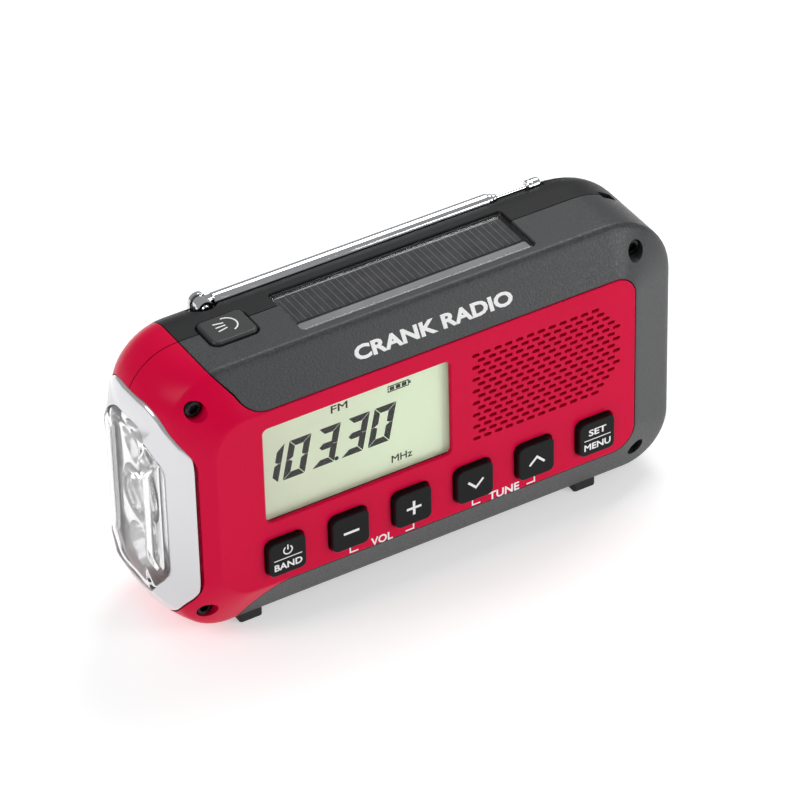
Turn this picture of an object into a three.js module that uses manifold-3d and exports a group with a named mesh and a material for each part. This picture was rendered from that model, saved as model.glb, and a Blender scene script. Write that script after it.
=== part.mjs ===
// A palm-size emergency radio with a torch end, a solar panel, a telescopic antenna and a fold-out hand crank.
// Units are millimetres. +X runs along the radio away from the torch, +Y runs from the front face to the
// back, +Z is up, and the origin is under the middle of the radio on the plane that its feet stand on.
import * as THREE from "three";
import { mergeVertices } from "three/addons/utils/BufferGeometryUtils.js";
import Module from "manifold-3d";

const wasm = await Module();
wasm.setup();

// ---------------------------------------------------------------- driving dimensions
// Overall case
const length = 155;
const depth = 44;
const caseHeight = 80.6;
const footHeight = 2.8;
const wall = 2.2;
const gap = 0.3; // between two pieces that touch
const play = 0.15; // round a pin or a shaft that turns
const partingY = 1.4; // plane where the front and rear halves meet

// Front slope band, from the edge of the flat face back to the sides
const slopeDepth = 7.5;
const slopeTop = 12;
const slopeRight = 15.5;
const slopeBottom = 13.2;
const slopeLeft = 2.5;
// Rear rounding, with its own reach on each side
const rearDepth = 14;
const rearTop = 16;
const rearRight = 8;
const rearBottom = 12;
const rearLeft = 2.5;
// Corner radii in front view, for the sides and for the edge of the flat face
const cornerTopRight = 20.7;
const cornerBottomRight = 14;
const cornerTopLeft = 15.5;
const cornerBottomLeft = 14;
const faceCornerTopRight = 6;
const faceCornerBottomRight = 7;
const faceCornerTopLeft = 10;
const faceCornerBottomLeft = 10;
// Torch end, an arc in plan view
const endRadius = 32;
const lensProud = 1.2;

// Red panel seam, measured in from the torch end
const seamTopX = -length / 2 + 17.1;
const seamTabX = -length / 2 + 21.9;
const seamBottomX = -length / 2 + 20.5;
const seamCurveX = -length / 2 + 34.5;

// Display
const lcdLeft = -49.8;
const lcdWidth = 55;
const lcdBottom = 36.2;
const lcdHeight = 29.7;
const lcdLip = 1;
const lcdRebate = 1.6;
const lcdBorder = 1; // of the module, hidden behind the window's frame
const lcdThickness = 4.2;

// Front buttons
const buttonNames = ["power", "volume_down", "volume_up", "tune_down", "tune_up", "menu"];
const buttonPitch = 18.8;
const buttonFirstX = -45.1;
const buttonZ = 25;
const buttonWidth = 10.9;
const buttonHeight = 10.6;
const buttonProud = 1.9;
const buttonCorner = 1.8;
const buttonFlange = 1;
const keyTravel = 0.9;
const membraneThickness = 0.9;
const boardThickness = 1.6; // every circuit board

// Speaker and its grille
const speakerX = 34.4;
const speakerZ = 51.3;
const speakerRadius = 18.2;
const grilleColumns = 7;
const grilleRows = 15;
const grillePitchX = 6.6;
const grillePitchZ = 1.9;
const slotWidth = 5.4;
const slotHeight = 0.95;
const grilleCut = 6.5; // size of the cut corners on the right

// Case screws
const screwInsetLeft = 11.7;
const screwInsetRight = 13.2;
const screwInsetTop = 8;
const screwInsetBottom = 9;
const screwHeadRadius = 2.05;
const screwShankRadius = 1.25;
const screwHeadHeight = 2;
const screwHeadY = -16; // front of the head
const screwLength = 24;
const bossRadius = 3.6;
const bossBlind = 1.2;

// Feet
const footWidth = 6.8;
const footLength = 6.6;
const footInset = 26.2;
const footPocket = 0.6;

// Torch
const lensHalfHeight = 33.4;
const lensHalfWidth = 19.7;
const lensCornerHeight = 12.2;
const lensCornerWidth = 9.4;
const lensCentreY = 0.4;
const lensCentreZ = 40.9;
const lensWall = 2;
const lensFaceHalfWidth = 11;
const lensFaceHalfHeight = 24;
const lensFaceDepth = 4.2;
const lensBevel = 3.6;
const lensRim = 0.3; // how far the lens stands out of the case round its edge
const bowlRadius = 8.4;
const sideBowlRadius = 6.4;
const bowlPitch = 16.4;
const reflectorDepth = 12;

// Torch button
const torchButtonX = -47;
const torchButtonY = -0.3;
const torchButtonLength = 13.2;
const torchButtonWidth = 10.6;
const torchButtonProud = 0.8;
const torchTravel = 0.8;

// Solar panel
const solarLeft = -31;
const solarLength = 69;
const solarFront = -10.8;
const solarWidth = 17.6;
const solarStrip = 4.4; // plain border in front of the cell
const solarSink = 0.3;
const solarGlass = 1.2;

// Antenna
const antennaY = 13.6;
const antennaZ = 82.5;
const antennaPivotX = -47;
const tubeRadius = 2;
const tubeWall = 0.28;
const tubePlay = 0.12;
const tubeLength = 82.6;
const tubeStep = 1.2; // how far each section shows when closed
const rodShows = 9.2;
const tipRadius = 1.7;
const tipLength = 4.2;
const ledgeRight = 56.7;

// Crank and gears
const crankX = -27.5;
const crankZ = 42;
const crankArm = 19.5;
const armWidth = 8;
const armThickness = 4;
const knobRadius = 4.5;
const knobLength = 8.7;
const hubRadius = 8.5;
const crankShaftRadius = 3;
const dishFloor = 2;
const bushWall = 2.3;
const crankTeeth = 32;
const pinionTeeth = 10;
const crankModule = 0.9;
const wheelTeeth = 32;
const wheelModule = 0.7;
const gearBacklash = 0.16;
const idlerAngle = -75;
const generatorAngle = 15;
const generatorRadius = 10;
const generatorLength = 10.3;

// Battery
const cellRadius = 9.1;
const cellLength = 65;
const cellZ = 27.5;
const cellY = 9.3;
const doorLength = 60;
const doorHeight = 19;

// Ports in the right end
const portY = 1;
const portZ = 51;
const portWidth = 18;
const portHeight = 22;

// ---------------------------------------------------------------- derived places
const frontY = -depth / 2;
const rearY = depth / 2;
const endX = length / 2;
const shellLeft = -endX + lensProud;
const bottomZ = footHeight;
const topZ = footHeight + caseHeight;
const innerFront = frontY + wall;
const innerRear = rearY - wall;
const rearStart = rearY - rearDepth;
const crankProud = buttonProud;
const lensBackX = shellLeft + 8; // behind the lens where it wraps round the end's corners
const far = 200; // reach of a cut that runs past the whole case

// ---------------------------------------------------------------- solids by boolean
// A closed geometry as a solid, with its faces turned outwards.
function solid(geometry) {
  const bare = geometry.clone();
  bare.deleteAttribute("normal");
  bare.deleteAttribute("uv");
  const merged = mergeVertices(bare, 1e-5);
  const index = Array.from(merged.index.array);
  const kept = [];
  for (let i = 0; i < index.length; i += 3) {
    const [a, b, c] = index.slice(i, i + 3);
    if (a !== b && b !== c && c !== a) kept.push(a, b, c);
  }
  const vertProperties = new Float32Array(merged.attributes.position.array);
  const build = (list) =>
    new wasm.Manifold(new wasm.Mesh({ numProp: 3, vertProperties, triVerts: new Uint32Array(list) }));
  const first = build(kept);
  if (first.volume() >= 0) return first;
  for (let i = 0; i < kept.length; i += 3) {
    [kept[i + 1], kept[i + 2]] = [kept[i + 2], kept[i + 1]];
  }
  return build(kept);
}

function join(...parts) {
  return parts.reduce((whole, part) => whole.add(part));
}

function cut(body, ...tools) {
  return tools.reduce((whole, tool) => whole.subtract(tool), body);
}

// A box between two corners.
function block(x0, x1, y0, y1, z0, z1) {
  const g = new THREE.BoxGeometry(x1 - x0, y1 - y0, z1 - z0);
  g.translate((x0 + x1) / 2, (y0 + y1) / 2, (z0 + z1) / 2);
  return solid(g);
}

const basis = {
  x: new THREE.Matrix4().makeBasis(
    new THREE.Vector3(0, 1, 0), new THREE.Vector3(0, 0, 1), new THREE.Vector3(1, 0, 0)),
  y: new THREE.Matrix4().makeBasis(
    new THREE.Vector3(1, 0, 0), new THREE.Vector3(0, 0, 1), new THREE.Vector3(0, -1, 0)),
  z: new THREE.Matrix4(),
};

// A flat outline pushed along an axis from one place to another. The outline is drawn in the other
// two axes, in X, Y, Z order.
function prism(shape, axis, from, to, curveSegments = 4) {
  const g = new THREE.ExtrudeGeometry(shape, {
    depth: to - from, bevelEnabled: false, curveSegments,
  });
  g.applyMatrix4(basis[axis]);
  if (axis === "x") g.translate(from, 0, 0);
  if (axis === "y") g.translate(0, to, 0);
  if (axis === "z") g.translate(0, 0, from);
  return solid(g);
}

// A round bar along an axis; a and b are its centre in the other two axes.
function bar(axis, radius, from, to, a, b, sides = 20) {
  const g = new THREE.CylinderGeometry(radius, radius, to - from, sides);
  if (axis === "x") g.rotateZ(-Math.PI / 2);
  if (axis === "z") g.rotateX(Math.PI / 2);
  const mid = (from + to) / 2;
  if (axis === "x") g.translate(mid, a, b);
  if (axis === "y") g.translate(a, mid, b);
  if (axis === "z") g.translate(a, b, mid);
  return solid(g);
}

// A turned piece: profile points are [radius, place along the axis].
function turned(axis, profile, a, b, sides = 24) {
  const g = new THREE.LatheGeometry(profile.map(([r, h]) => new THREE.Vector2(r, h)), sides);
  if (axis === "x") g.rotateZ(-Math.PI / 2);
  if (axis === "z") g.rotateX(Math.PI / 2);
  if (axis === "x") g.translate(0, a, b);
  if (axis === "y") g.translate(a, 0, b);
  if (axis === "z") g.translate(a, b, 0);
  return solid(g);
}

// A rectangle with round corners, given by its centre and size.
function roundedRect(cx, cy, width, height, radius) {
  const shape = new THREE.Shape();
  const left = cx - width / 2;
  const right = cx + width / 2;
  const low = cy - height / 2;
  const high = cy + height / 2;
  shape.moveTo(left + radius, low);
  shape.lineTo(right - radius, low);
  shape.absarc(right - radius, low + radius, radius, -Math.PI / 2, 0);
  shape.lineTo(right, high - radius);
  shape.absarc(right - radius, high - radius, radius, 0, Math.PI / 2);
  shape.lineTo(left + radius, high);
  shape.absarc(left + radius, high - radius, radius, Math.PI / 2, Math.PI);
  shape.lineTo(left, low + radius);
  shape.absarc(left + radius, low + radius, radius, Math.PI, 1.5 * Math.PI);
  return shape;
}

function polygon(points) {
  return new THREE.Shape(points.map(([x, y]) => new THREE.Vector2(x, y)));
}

// ---------------------------------------------------------------- the case's outer form
// How far the front slope still stands in at a depth behind the face, from 1 at the face to 0.
function slopeShare(y) {
  const t = (y - frontY) / slopeDepth;
  const soft = 0.16;
  if (t <= 0) return 1;
  if (t >= 1 + soft) return 0;
  if (t < 1 - soft) return 1 - t;
  return (1 + soft - t) ** 2 / (4 * soft);
}

// How far the rear rounding stands in, from 0 where it starts to 1 at the back.
function rearShare(y) {
  const t = THREE.MathUtils.clamp((y - rearStart) / rearDepth, 0, 1);
  return 1 - Math.sqrt(1 - t * t);
}

// How far the torch end's arc stands in from its furthest point.
function endInset(y) {
  return endRadius - Math.sqrt(endRadius ** 2 - (y - partingY) ** 2);
}

// The outline of the case at one depth, drawn inside the true surface by an inset.
function caseRing(y, inset) {
  const slope = slopeShare(y);
  const rear = rearShare(y);
  const left = shellLeft + endInset(y) + slopeLeft * slope ** 2 + rearLeft * rear + inset;
  const right = endX - slopeRight * slope - rearRight * rear - inset;
  const low = bottomZ + slopeBottom * slope + rearBottom * rear + inset;
  const high = topZ - slopeTop * slope - rearTop * rear - inset;
  const corner = (side, face) => Math.max(side + (face - side) * slope - inset, 1);
  return {
    y, left, right, low, high,
    radii: [
      corner(cornerBottomRight, faceCornerBottomRight),
      corner(cornerTopRight, faceCornerTopRight),
      corner(cornerTopLeft, faceCornerTopLeft),
      corner(cornerBottomLeft, faceCornerBottomLeft),
    ],
  };
}

const arcSteps = 6;

function ringPoints(ring) {
  const [br, tr, tl, bl] = ring.radii;
  const centres = [
    [ring.right - br, ring.low + br, br, -Math.PI / 2],
    [ring.right - tr, ring.high - tr, tr, 0],
    [ring.left + tl, ring.high - tl, tl, Math.PI / 2],
    [ring.left + bl, ring.low + bl, bl, Math.PI],
  ];
  const points = [];
  for (const [cx, cz, r, start] of centres) {
    for (let i = 0; i <= arcSteps; i++) {
      const angle = start + (Math.PI / 2) * (i / arcSteps);
      points.push(new THREE.Vector3(cx + r * Math.cos(angle), ring.y, cz + r * Math.sin(angle)));
    }
  }
  return points;
}

// A closed solid skinned over a row of rings.
function loft(rings) {
  const rows = rings.map(ringPoints);
  const n = rows[0].length;
  const positions = rows.flat().flatMap((p) => [p.x, p.y, p.z]);
  const index = [];
  for (let r = 0; r + 1 < rows.length; r++) {
    for (let i = 0; i < n; i++) {
      const a = r * n + i;
      const b = r * n + ((i + 1) % n);
      index.push(a, b, b + n, a, b + n, a + n);
    }
  }
  for (let i = 1; i + 1 < n; i++) {
    const last = (rows.length - 1) * n;
    index.push(0, i + 1, i);
    index.push(last, last + i, last + i + 1);
  }
  const g = new THREE.BufferGeometry();
  g.setAttribute("position", new THREE.Float32BufferAttribute(positions, 3));
  g.setIndex(index);
  return solid(g);
}

// Depths of the rings: close together on the slope's rear edge and round the back.
function ringDepths(first, last) {
  const slopeStops = [0, 0.84, 0.95, 1.05, 1.16].map((t) => frontY + slopeDepth * t);
  const roundStops = [15, 30, 45, 60, 75, 90].map(
    (deg) => rearStart + rearDepth * Math.sin(THREE.MathUtils.degToRad(deg)));
  const endStops = [-7, partingY, rearStart];
  const all = [...slopeStops, ...endStops, ...roundStops];
  const inside = all.filter((y) => y > first + 0.2 && y < last - 0.2);
  return [first, ...inside, last];
}

function outerForm() {
  return loft(ringDepths(frontY, rearY).map((y) => caseRing(y, 0)));
}

// The hollow follows the outside, moved in by the wall. On the slope it also moves back, which
// keeps the wall's thickness square to the slanting surface.
function innerForm() {
  const slantShift = 0.55 * wall;
  const rearShift = 0.45 * wall;
  return loft(ringDepths(innerFront, innerRear).map((y) => {
    const shift = y < partingY ? -slantShift : rearShift;
    return { ...caseRing(y + shift, wall), y };
  }));
}

const outer = outerForm();
const inner = innerForm();
const shell = outer.subtract(inner);

// ---------------------------------------------------------------- the red part of the case
// In front view the red region is the panel, the torch end, and the curves that lead from one to
// the other. Growing it by half the gap or less leaves the seam between the two colours.
function redRegion(grow) {
  const panelTop = topZ - slopeTop + grow;
  const panelRight = endX - slopeRight - 0.4 + grow;
  const panelBottom = bottomZ + slopeBottom - grow;
  const trCorner = faceCornerTopRight + grow;
  const brCorner = faceCornerBottomRight + grow;
  const tabFoot = 8.5;
  const tabRise = 5.5;
  const shape = new THREE.Shape();
  shape.moveTo(-far, topZ + far);
  shape.lineTo(-far, bottomZ - far);
  shape.lineTo(seamBottomX + grow, bottomZ - far);
  shape.lineTo(seamBottomX + grow, bottomZ);
  shape.bezierCurveTo(
    seamBottomX + grow + 3, bottomZ + slopeBottom * 0.45,
    seamCurveX - 6, panelBottom, seamCurveX, panelBottom);
  shape.lineTo(panelRight - brCorner, panelBottom);
  shape.absarc(panelRight - brCorner, panelBottom + brCorner, brCorner, -Math.PI / 2, 0);
  shape.lineTo(panelRight, panelTop - trCorner);
  shape.absarc(panelRight - trCorner, panelTop - trCorner, trCorner, 0, Math.PI / 2);
  shape.lineTo(seamTabX + tabFoot, panelTop);
  shape.quadraticCurveTo(seamTabX + 2.5, panelTop, seamTabX + grow, panelTop + tabRise);
  shape.lineTo(seamTopX + grow, topZ);
  shape.lineTo(seamTopX + grow, topZ + far);
  return shape;
}

const frontHalf = shell.intersect(block(-far, far, -far, partingY - gap / 2, -far, far));
const rearHalf = shell.intersect(block(-far, far, partingY + gap / 2, far, -far, far));
const redFront = prism(redRegion(0), "y", -far, far, 5);
const redFrontWide = prism(redRegion(gap), "y", -far, far, 5);
const endSeam = (grow) => prism(polygon([
  [-far, -far], [seamBottomX + grow, -far], [seamBottomX + grow, bottomZ],
  [seamTopX + grow, topZ], [seamTopX + grow, far], [-far, far],
]), "y", -far, far);

// ---------------------------------------------------------------- case screws
const screws = [
  ["screw_top_left", -endX + screwInsetLeft, topZ - screwInsetTop],
  ["screw_bottom_left", -endX + screwInsetLeft, bottomZ + screwInsetBottom],
  ["screw_top_right", endX - screwInsetRight, topZ - screwInsetTop],
  ["screw_bottom_right", endX - screwInsetRight, bottomZ + screwInsetBottom],
];
const screwSeatY = screwHeadY + screwHeadHeight;
const screwEndY = screwSeatY + screwLength;

function screwBody(x, z) {
  const head = bar("y", screwHeadRadius, screwHeadY, screwSeatY, x, z, 16);
  const shank = bar("y", screwShankRadius, screwSeatY - 0.5, screwEndY, x, z, 10);
  const socket = bar("y", 1.15, screwHeadY - 1, screwHeadY + 1.2, x, z, 6);
  return cut(join(head, shank), socket);
}

function screwBosses(from, to, side) {
  return screws.filter(([, x]) => Math.sign(x) === side)
    .map(([, x, z]) => bar("y", bossRadius, from, to, x, z, 20).intersect(outer));
}

function screwHoles(side) {
  return screws.filter(([, x]) => Math.sign(x) === side).flatMap(([, x, z]) => [
    bar("y", screwHeadRadius + 0.6, frontY - 5, screwSeatY + gap, x, z, 20),
    bar("y", screwShankRadius + gap, screwSeatY, screwEndY + bossBlind, x, z, 12),
  ]);
}

// ---------------------------------------------------------------- openings in the case
const lcdCentreX = lcdLeft + lcdWidth / 2;
const lcdCentreZ = lcdBottom + lcdHeight / 2;
const buttonXs = buttonNames.map((_, i) => buttonFirstX + buttonPitch * i);

function displayOpening() {
  const window = roundedRect(lcdCentreX, lcdCentreZ, lcdWidth, lcdHeight, 1.6);
  const rebate = roundedRect(lcdCentreX, lcdCentreZ, lcdWidth + 2 * lcdRebate, lcdHeight + 2 * lcdRebate, 1.6);
  return join(
    prism(window, "y", frontY - 5, innerFront + 5, 3),
    prism(rebate, "y", frontY + lcdLip, innerFront + 1, 3),
  );
}

function buttonOpening(x) {
  const size = 2 * gap;
  return prism(
    roundedRect(x, buttonZ, buttonWidth + size, buttonHeight + size, buttonCorner + gap),
    "y", frontY - 5, innerFront + 1, 2);
}

// Rows of short slots, staggered like brickwork, with the two right corners of the field cut off.
function grilleSlots() {
  const width = grillePitchX * (grilleColumns - 1);
  const height = grillePitchZ * (grilleRows - 1);
  const slots = [];
  for (let row = 0; row < grilleRows; row++) {
    const staggered = row % 2 === 1;
    const count = staggered ? grilleColumns - 1 : grilleColumns;
    for (let column = 0; column < count; column++) {
      const dx = (column + (staggered ? 0.5 : 0)) * grillePitchX - width / 2;
      const dz = row * grillePitchZ - height / 2;
      const intoCorner = dx - width / 2 + (Math.abs(dz) - height / 2) + grilleCut;
      if (intoCorner > 0) continue;
      slots.push(block(
        speakerX + dx - slotWidth / 2, speakerX + dx + slotWidth / 2, frontY - 1, innerFront + 1,
        speakerZ + dz - slotHeight / 2, speakerZ + dz + slotHeight / 2));
    }
  }
  return slots;
}

// The torch lens is an octagon in end view. In plan it follows the end's arc, with a flat raised face.
function octagon(grow) {
  const w = lensHalfWidth + grow;
  const h = lensHalfHeight + grow;
  const cw = lensCornerWidth + 0.4 * grow;
  const ch = lensCornerHeight + 0.4 * grow;
  return polygon([
    [-w, -h + ch], [-w + cw, -h], [w - cw, -h], [w, -h + ch],
    [w, h - ch], [w - cw, h], [-w + cw, h], [-w, h - ch],
  ].map(([y, z]) => [lensCentreY + y, lensCentreZ + z]));
}

// The case's form moved out or in by an offset, between two depths.
function offsetForm(offset, first, last) {
  return loft(ringDepths(first, last).map((y) => caseRing(y, -offset)));
}

// The raised face of the lens, flat in front and bevelled all round, moved in by an inset.
function raisedFace(inset) {
  const halfWidth = lensFaceHalfWidth - 0.4 * inset;
  const halfHeight = lensFaceHalfHeight - 0.4 * inset;
  const front = -endX + inset;
  const back = front + lensFaceDepth;
  const outline = (centre, half) => polygon([
    [front, centre - half], [back, centre - half - lensBevel],
    [back, centre + half + lensBevel], [front, centre + half],
  ]);
  const plan = prism(outline(partingY, halfWidth), "z", lensCentreZ - far, lensCentreZ + far);
  return plan.intersect(prism(outline(lensCentreZ, halfHeight), "y", -far, far));
}

// The lens follows the torch end's surface, stands a little proud of it, and swells to the raised face.
function torchLens() {
  const sight = prism(octagon(0), "x", -far, lensBackX);
  const outside = join(offsetForm(lensRim, frontY, rearY), raisedFace(0)).intersect(sight);
  const inside = join(offsetForm(lensRim - lensWall, frontY + 1, rearY - 1), raisedFace(lensWall));
  return cut(outside, inside);
}

function lensOpening() {
  return prism(octagon(gap), "x", -far, lensBackX);
}

const solarCentreX = solarLeft + solarLength / 2;
const solarCentreY = solarFront + solarWidth / 2;

function solarOpening() {
  return prism(roundedRect(solarCentreX, solarCentreY, solarLength + 2 * gap, solarWidth + 2 * gap, 1.2),
    "z", topZ - wall - 1, topZ + 5, 2);
}

function torchButtonOpening() {
  return prism(
    roundedRect(torchButtonX, torchButtonY, torchButtonLength + 2 * gap, torchButtonWidth + 2 * gap, 2.2),
    "z", topZ - wall - 1, topZ + 5, 3);
}

// The antenna lies on a ledge cut in the top rear edge, open to the back so that it can swing out.
const ledgeFloor = antennaZ - tubeRadius - 0.4;
const knuckleRadius = 4.4;
const swivelRadius = 3.4;

function antennaLedge() {
  return join(
    block(antennaPivotX - 2, ledgeRight, antennaY - tubeRadius - 0.4, far, ledgeFloor, far),
    bar("z", knuckleRadius, ledgeFloor, topZ + 5, antennaPivotX, antennaY, 24),
    block(ledgeRight - 1, far, antennaY - tipRadius - gap, antennaY + tipRadius + gap,
      antennaZ - tipRadius - gap, far),
  );
}

function antennaRib() {
  return block(antennaPivotX - 7, ledgeRight + 3, antennaY - 6, antennaY + 7, ledgeFloor - 3.4, topZ + 1)
    .intersect(outer);
}

const footBoxes = [
  ["foot_front_left", -1, frontY + slopeDepth + 0.4],
  ["foot_front_right", 1, frontY + slopeDepth + 0.4],
  ["foot_rear_left", -1, rearStart - footLength],
  ["foot_rear_right", 1, rearStart - footLength],
].map(([name, side, y]) => [name, side * (endX - footInset), y]);

function footPockets() {
  return footBoxes.map(([, x, y]) => block(
    x - footWidth / 2 - gap, x + footWidth / 2 + gap, y - gap, y + footLength + gap,
    bottomZ - 1, bottomZ + footPocket));
}

// A lanyard bar in the top right corner, between two slots through the wall on the parting line.
function lanyardSlots() {
  const slotDepth = 3;
  const centreX = endX - cornerTopRight;
  const centreZ = topZ - cornerTopRight;
  return [58, 32].map((deg) => {
    const angle = THREE.MathUtils.degToRad(deg);
    const g = new THREE.BoxGeometry(2 * wall + 4, slotDepth, 4.6);
    g.rotateY(-angle);
    const r = cornerTopRight - wall;
    g.translate(centreX + r * Math.cos(angle), partingY, centreZ + r * Math.sin(angle));
    return solid(g);
  });
}

// ---------------------------------------------------------------- crank recess and ports
const armPlaneY = rearY + crankProud - armThickness / 2;
const armInnerY = armPlaneY - armThickness / 2;
const knobOuterY = armInnerY - gap;
const knobInnerY = knobOuterY - knobLength;
const dishFloorY = knobInnerY - 1;
const dishRadius = Math.hypot(crankArm + knobRadius, armPlaneY - knobInnerY) + 0.9;
const bushRadius = crankShaftRadius + play + bushWall;

function crankDish() {
  return bar("y", dishRadius, dishFloorY, far, crankX, crankZ, 48);
}

function dishWall() {
  return bar("y", dishRadius + wall, dishFloorY - dishFloor, rearY, crankX, crankZ, 48).intersect(outer);
}

const portRecessX = endX - wall;
const usbCavity = { width: 12.4, height: 5, depth: 9 };
const usbZ = portZ + 5;
const chargeZ = portZ - 5;
const portHingeY = portY + portWidth / 2;

function portOpening() {
  return block(portRecessX - 3, far, portY - portWidth / 2 - gap, portY + portWidth / 2 + gap,
    portZ - portHeight / 2 - gap, portZ + portHeight / 2 + gap);
}

// Battery door on the back, hinged along its lower edge.
const doorLeft = 7;
const doorBottom = cellZ - doorHeight / 2;
const doorThickness = wall - 0.2;
const doorAxisY = rearY - doorThickness / 2;
const doorAxisZ = doorBottom + doorThickness / 2;

function doorOpening() {
  return block(doorLeft - gap, doorLeft + doorLength + gap, innerRear - 3, far,
    doorBottom - gap, doorBottom + doorHeight + gap);
}

// ---------------------------------------------------------------- gears
const involute = (angle) => Math.tan(angle) - angle;

// A spur gear outline with stub teeth, one tooth centred at the phase angle.
function gearShape(teeth, module, phase, cx, cz) {
  const pressure = THREE.MathUtils.degToRad(25);
  const pitch = (teeth * module) / 2;
  const base = pitch * Math.cos(pressure);
  const tip = pitch + 0.8 * module;
  const root = pitch - module;
  const half = (r) => {
    const roll = involute(Math.acos(Math.min(1, base / Math.max(r, base))));
    return Math.PI / (2 * teeth) - gearBacklash / (2 * pitch) + involute(pressure) - roll;
  };
  const start = Math.max(base, root);
  const radii = [start, (start + tip) / 2, tip];
  if (base > root) radii.unshift(root);
  const points = [];
  for (let i = 0; i < teeth; i++) {
    const centre = phase + (2 * Math.PI * i) / teeth;
    for (const r of radii) points.push([r, centre - half(r)]);
    for (const r of [...radii].reverse()) points.push([r, centre + half(r)]);
  }
  return polygon(points.map(([r, angle]) => [cx + r * Math.cos(angle), cz + r * Math.sin(angle)]));
}

const idlerDistance = ((crankTeeth + pinionTeeth) * crankModule) / 2;
const idlerDirection = THREE.MathUtils.degToRad(idlerAngle);
const idlerX = crankX + idlerDistance * Math.cos(idlerDirection);
const idlerZ = crankZ + idlerDistance * Math.sin(idlerDirection);
const generatorDistance = ((wheelTeeth + pinionTeeth) * wheelModule) / 2;
const generatorDirection = THREE.MathUtils.degToRad(generatorAngle);
const generatorX = idlerX + generatorDistance * Math.cos(generatorDirection);
const generatorZ = idlerZ + generatorDistance * Math.sin(generatorDirection);

const gearTopY = dishFloorY - dishFloor - 0.7;
const crankGearThickness = 3;
const wheelTopY = gearTopY - crankGearThickness - 0.5;
const wheelThickness = 2.5;
const plateTopY = wheelTopY - wheelThickness - 0.6;
const plateThickness = 1.4;
const generatorTopY = plateTopY - plateThickness - gap;
const axleRadius = 1;
const plateLeft = crankX - 19.5;
const plateRight = crankX + 25.5;
const plateLow = generatorZ - 17;
const plateHigh = crankZ + 17;
const postRadius = 2.5;
const posts = [
  [crankX - 13, crankZ + 14],
  [crankX + 17, crankZ + 9],
  [crankX - 15.5, crankZ - 14],
  [generatorX + 2.5, plateLow + 3],
];

// Posts stand on the floor of the dish, or past its rim on the back wall.
function gearPosts() {
  return posts.map(([x, z]) => {
    const underDish = Math.hypot(x - crankX, z - crankZ) < dishRadius;
    const foot = underDish ? dishFloorY - 0.5 : innerRear + 0.5;
    return bar("y", postRadius, plateTopY + gap, foot, x, z, 12).intersect(outer);
  });
}

// ---------------------------------------------------------------- materials
function material(color, roughness, metalness = 0, opacity = 1) {
  return new THREE.MeshStandardMaterial({
    color, roughness, metalness, opacity, transparent: opacity < 1,
  });
}

const redPlastic = material(0xc8103f, 0.5);
const greyPlastic = material(0x4b4d50, 0.6);
const darkPlastic = material(0x2b2c2e, 0.6);
const blackPlastic = material(0x1c1e1f, 0.55);
const rubber = material(0x1a1a1a, 0.85);
const clearPlastic = material(0xf4f7f8, 0.06, 0, 0.35);
const displayGlass = material(0xc9d2bb, 0.25);
const whitePlastic = material(0xe9e9e4, 0.5);
const chrome = material(0xe6e8ea, 0.12, 1);
const steel = material(0xb9bcc0, 0.35, 1);
const blackSteel = material(0x242424, 0.4, 1);
const brass = material(0xb8923f, 0.35, 1);
const circuitBoard = material(0x1f5c34, 0.6);
const solarSilicon = material(0x24252b, 0.3);
const coneFabric = material(0x2b2a28, 0.9);
const nylon = material(0xe4ded0, 0.55);
const cellWrap = material(0x2f6fb0, 0.4);

const radio = new THREE.Group();

function add(name, body, look) {
  const mesh = body.getMesh();
  const g = new THREE.BufferGeometry();
  g.setAttribute("position", new THREE.BufferAttribute(new Float32Array(mesh.vertProperties), 3));
  g.setIndex(new THREE.BufferAttribute(new Uint32Array(mesh.triVerts), 1));
  g.computeVertexNormals();
  const piece = new THREE.Mesh(g, look);
  piece.name = name;
  radio.add(piece);
}

// ---------------------------------------------------------------- case
{
  const openings = [
    solarOpening(), torchButtonOpening(), portOpening(), ...lanyardSlots(), ...footPockets(),
  ];
  const red = join(
    cut(frontHalf.intersect(redFront), lensOpening()),
    ...screwBosses(frontY, partingY - gap / 2, -1),
  );
  add("front_panel", cut(red, displayOpening(), ...buttonXs.map(buttonOpening),
    ...screwHoles(-1), ...grilleSlots()), redPlastic);

  const grey = join(cut(frontHalf, redFrontWide), ...screwBosses(frontY, partingY - gap / 2, 1));
  add("front_housing", cut(grey, ...screwHoles(1), ...openings), greyPlastic);

  const cap = join(
    cut(rearHalf.intersect(endSeam(0)), lensOpening()),
    ...screwBosses(partingY + gap / 2, rearY, -1),
  );
  add("rear_end_cap", cut(cap, ...screwHoles(-1)), redPlastic);

  const back = join(cut(rearHalf, endSeam(gap)), antennaRib(), dishWall(),
    ...screwBosses(partingY + gap / 2, rearY, 1), ...gearPosts());
  const swivelHole = bar("z", swivelRadius + play, ledgeFloor - 10, topZ, antennaPivotX, antennaY, 24);
  const bushSeat = bar("y", bushRadius + gap, dishFloorY - 5, dishFloorY + 1, crankX, crankZ, 24);
  add("rear_housing", cut(back, ...screwHoles(1), ...openings, antennaLedge(), swivelHole, crankDish(),
    bushSeat, doorOpening()), darkPlastic);

  for (const [name, x, z] of screws) add(name, screwBody(x, z), blackSteel);
  for (const [name, x, y] of footBoxes) {
    const top = bottomZ + footPocket - gap;
    add(name, block(x - footWidth / 2, x + footWidth / 2, y, y + footLength, 0, top), rubber);
  }
}

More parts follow.
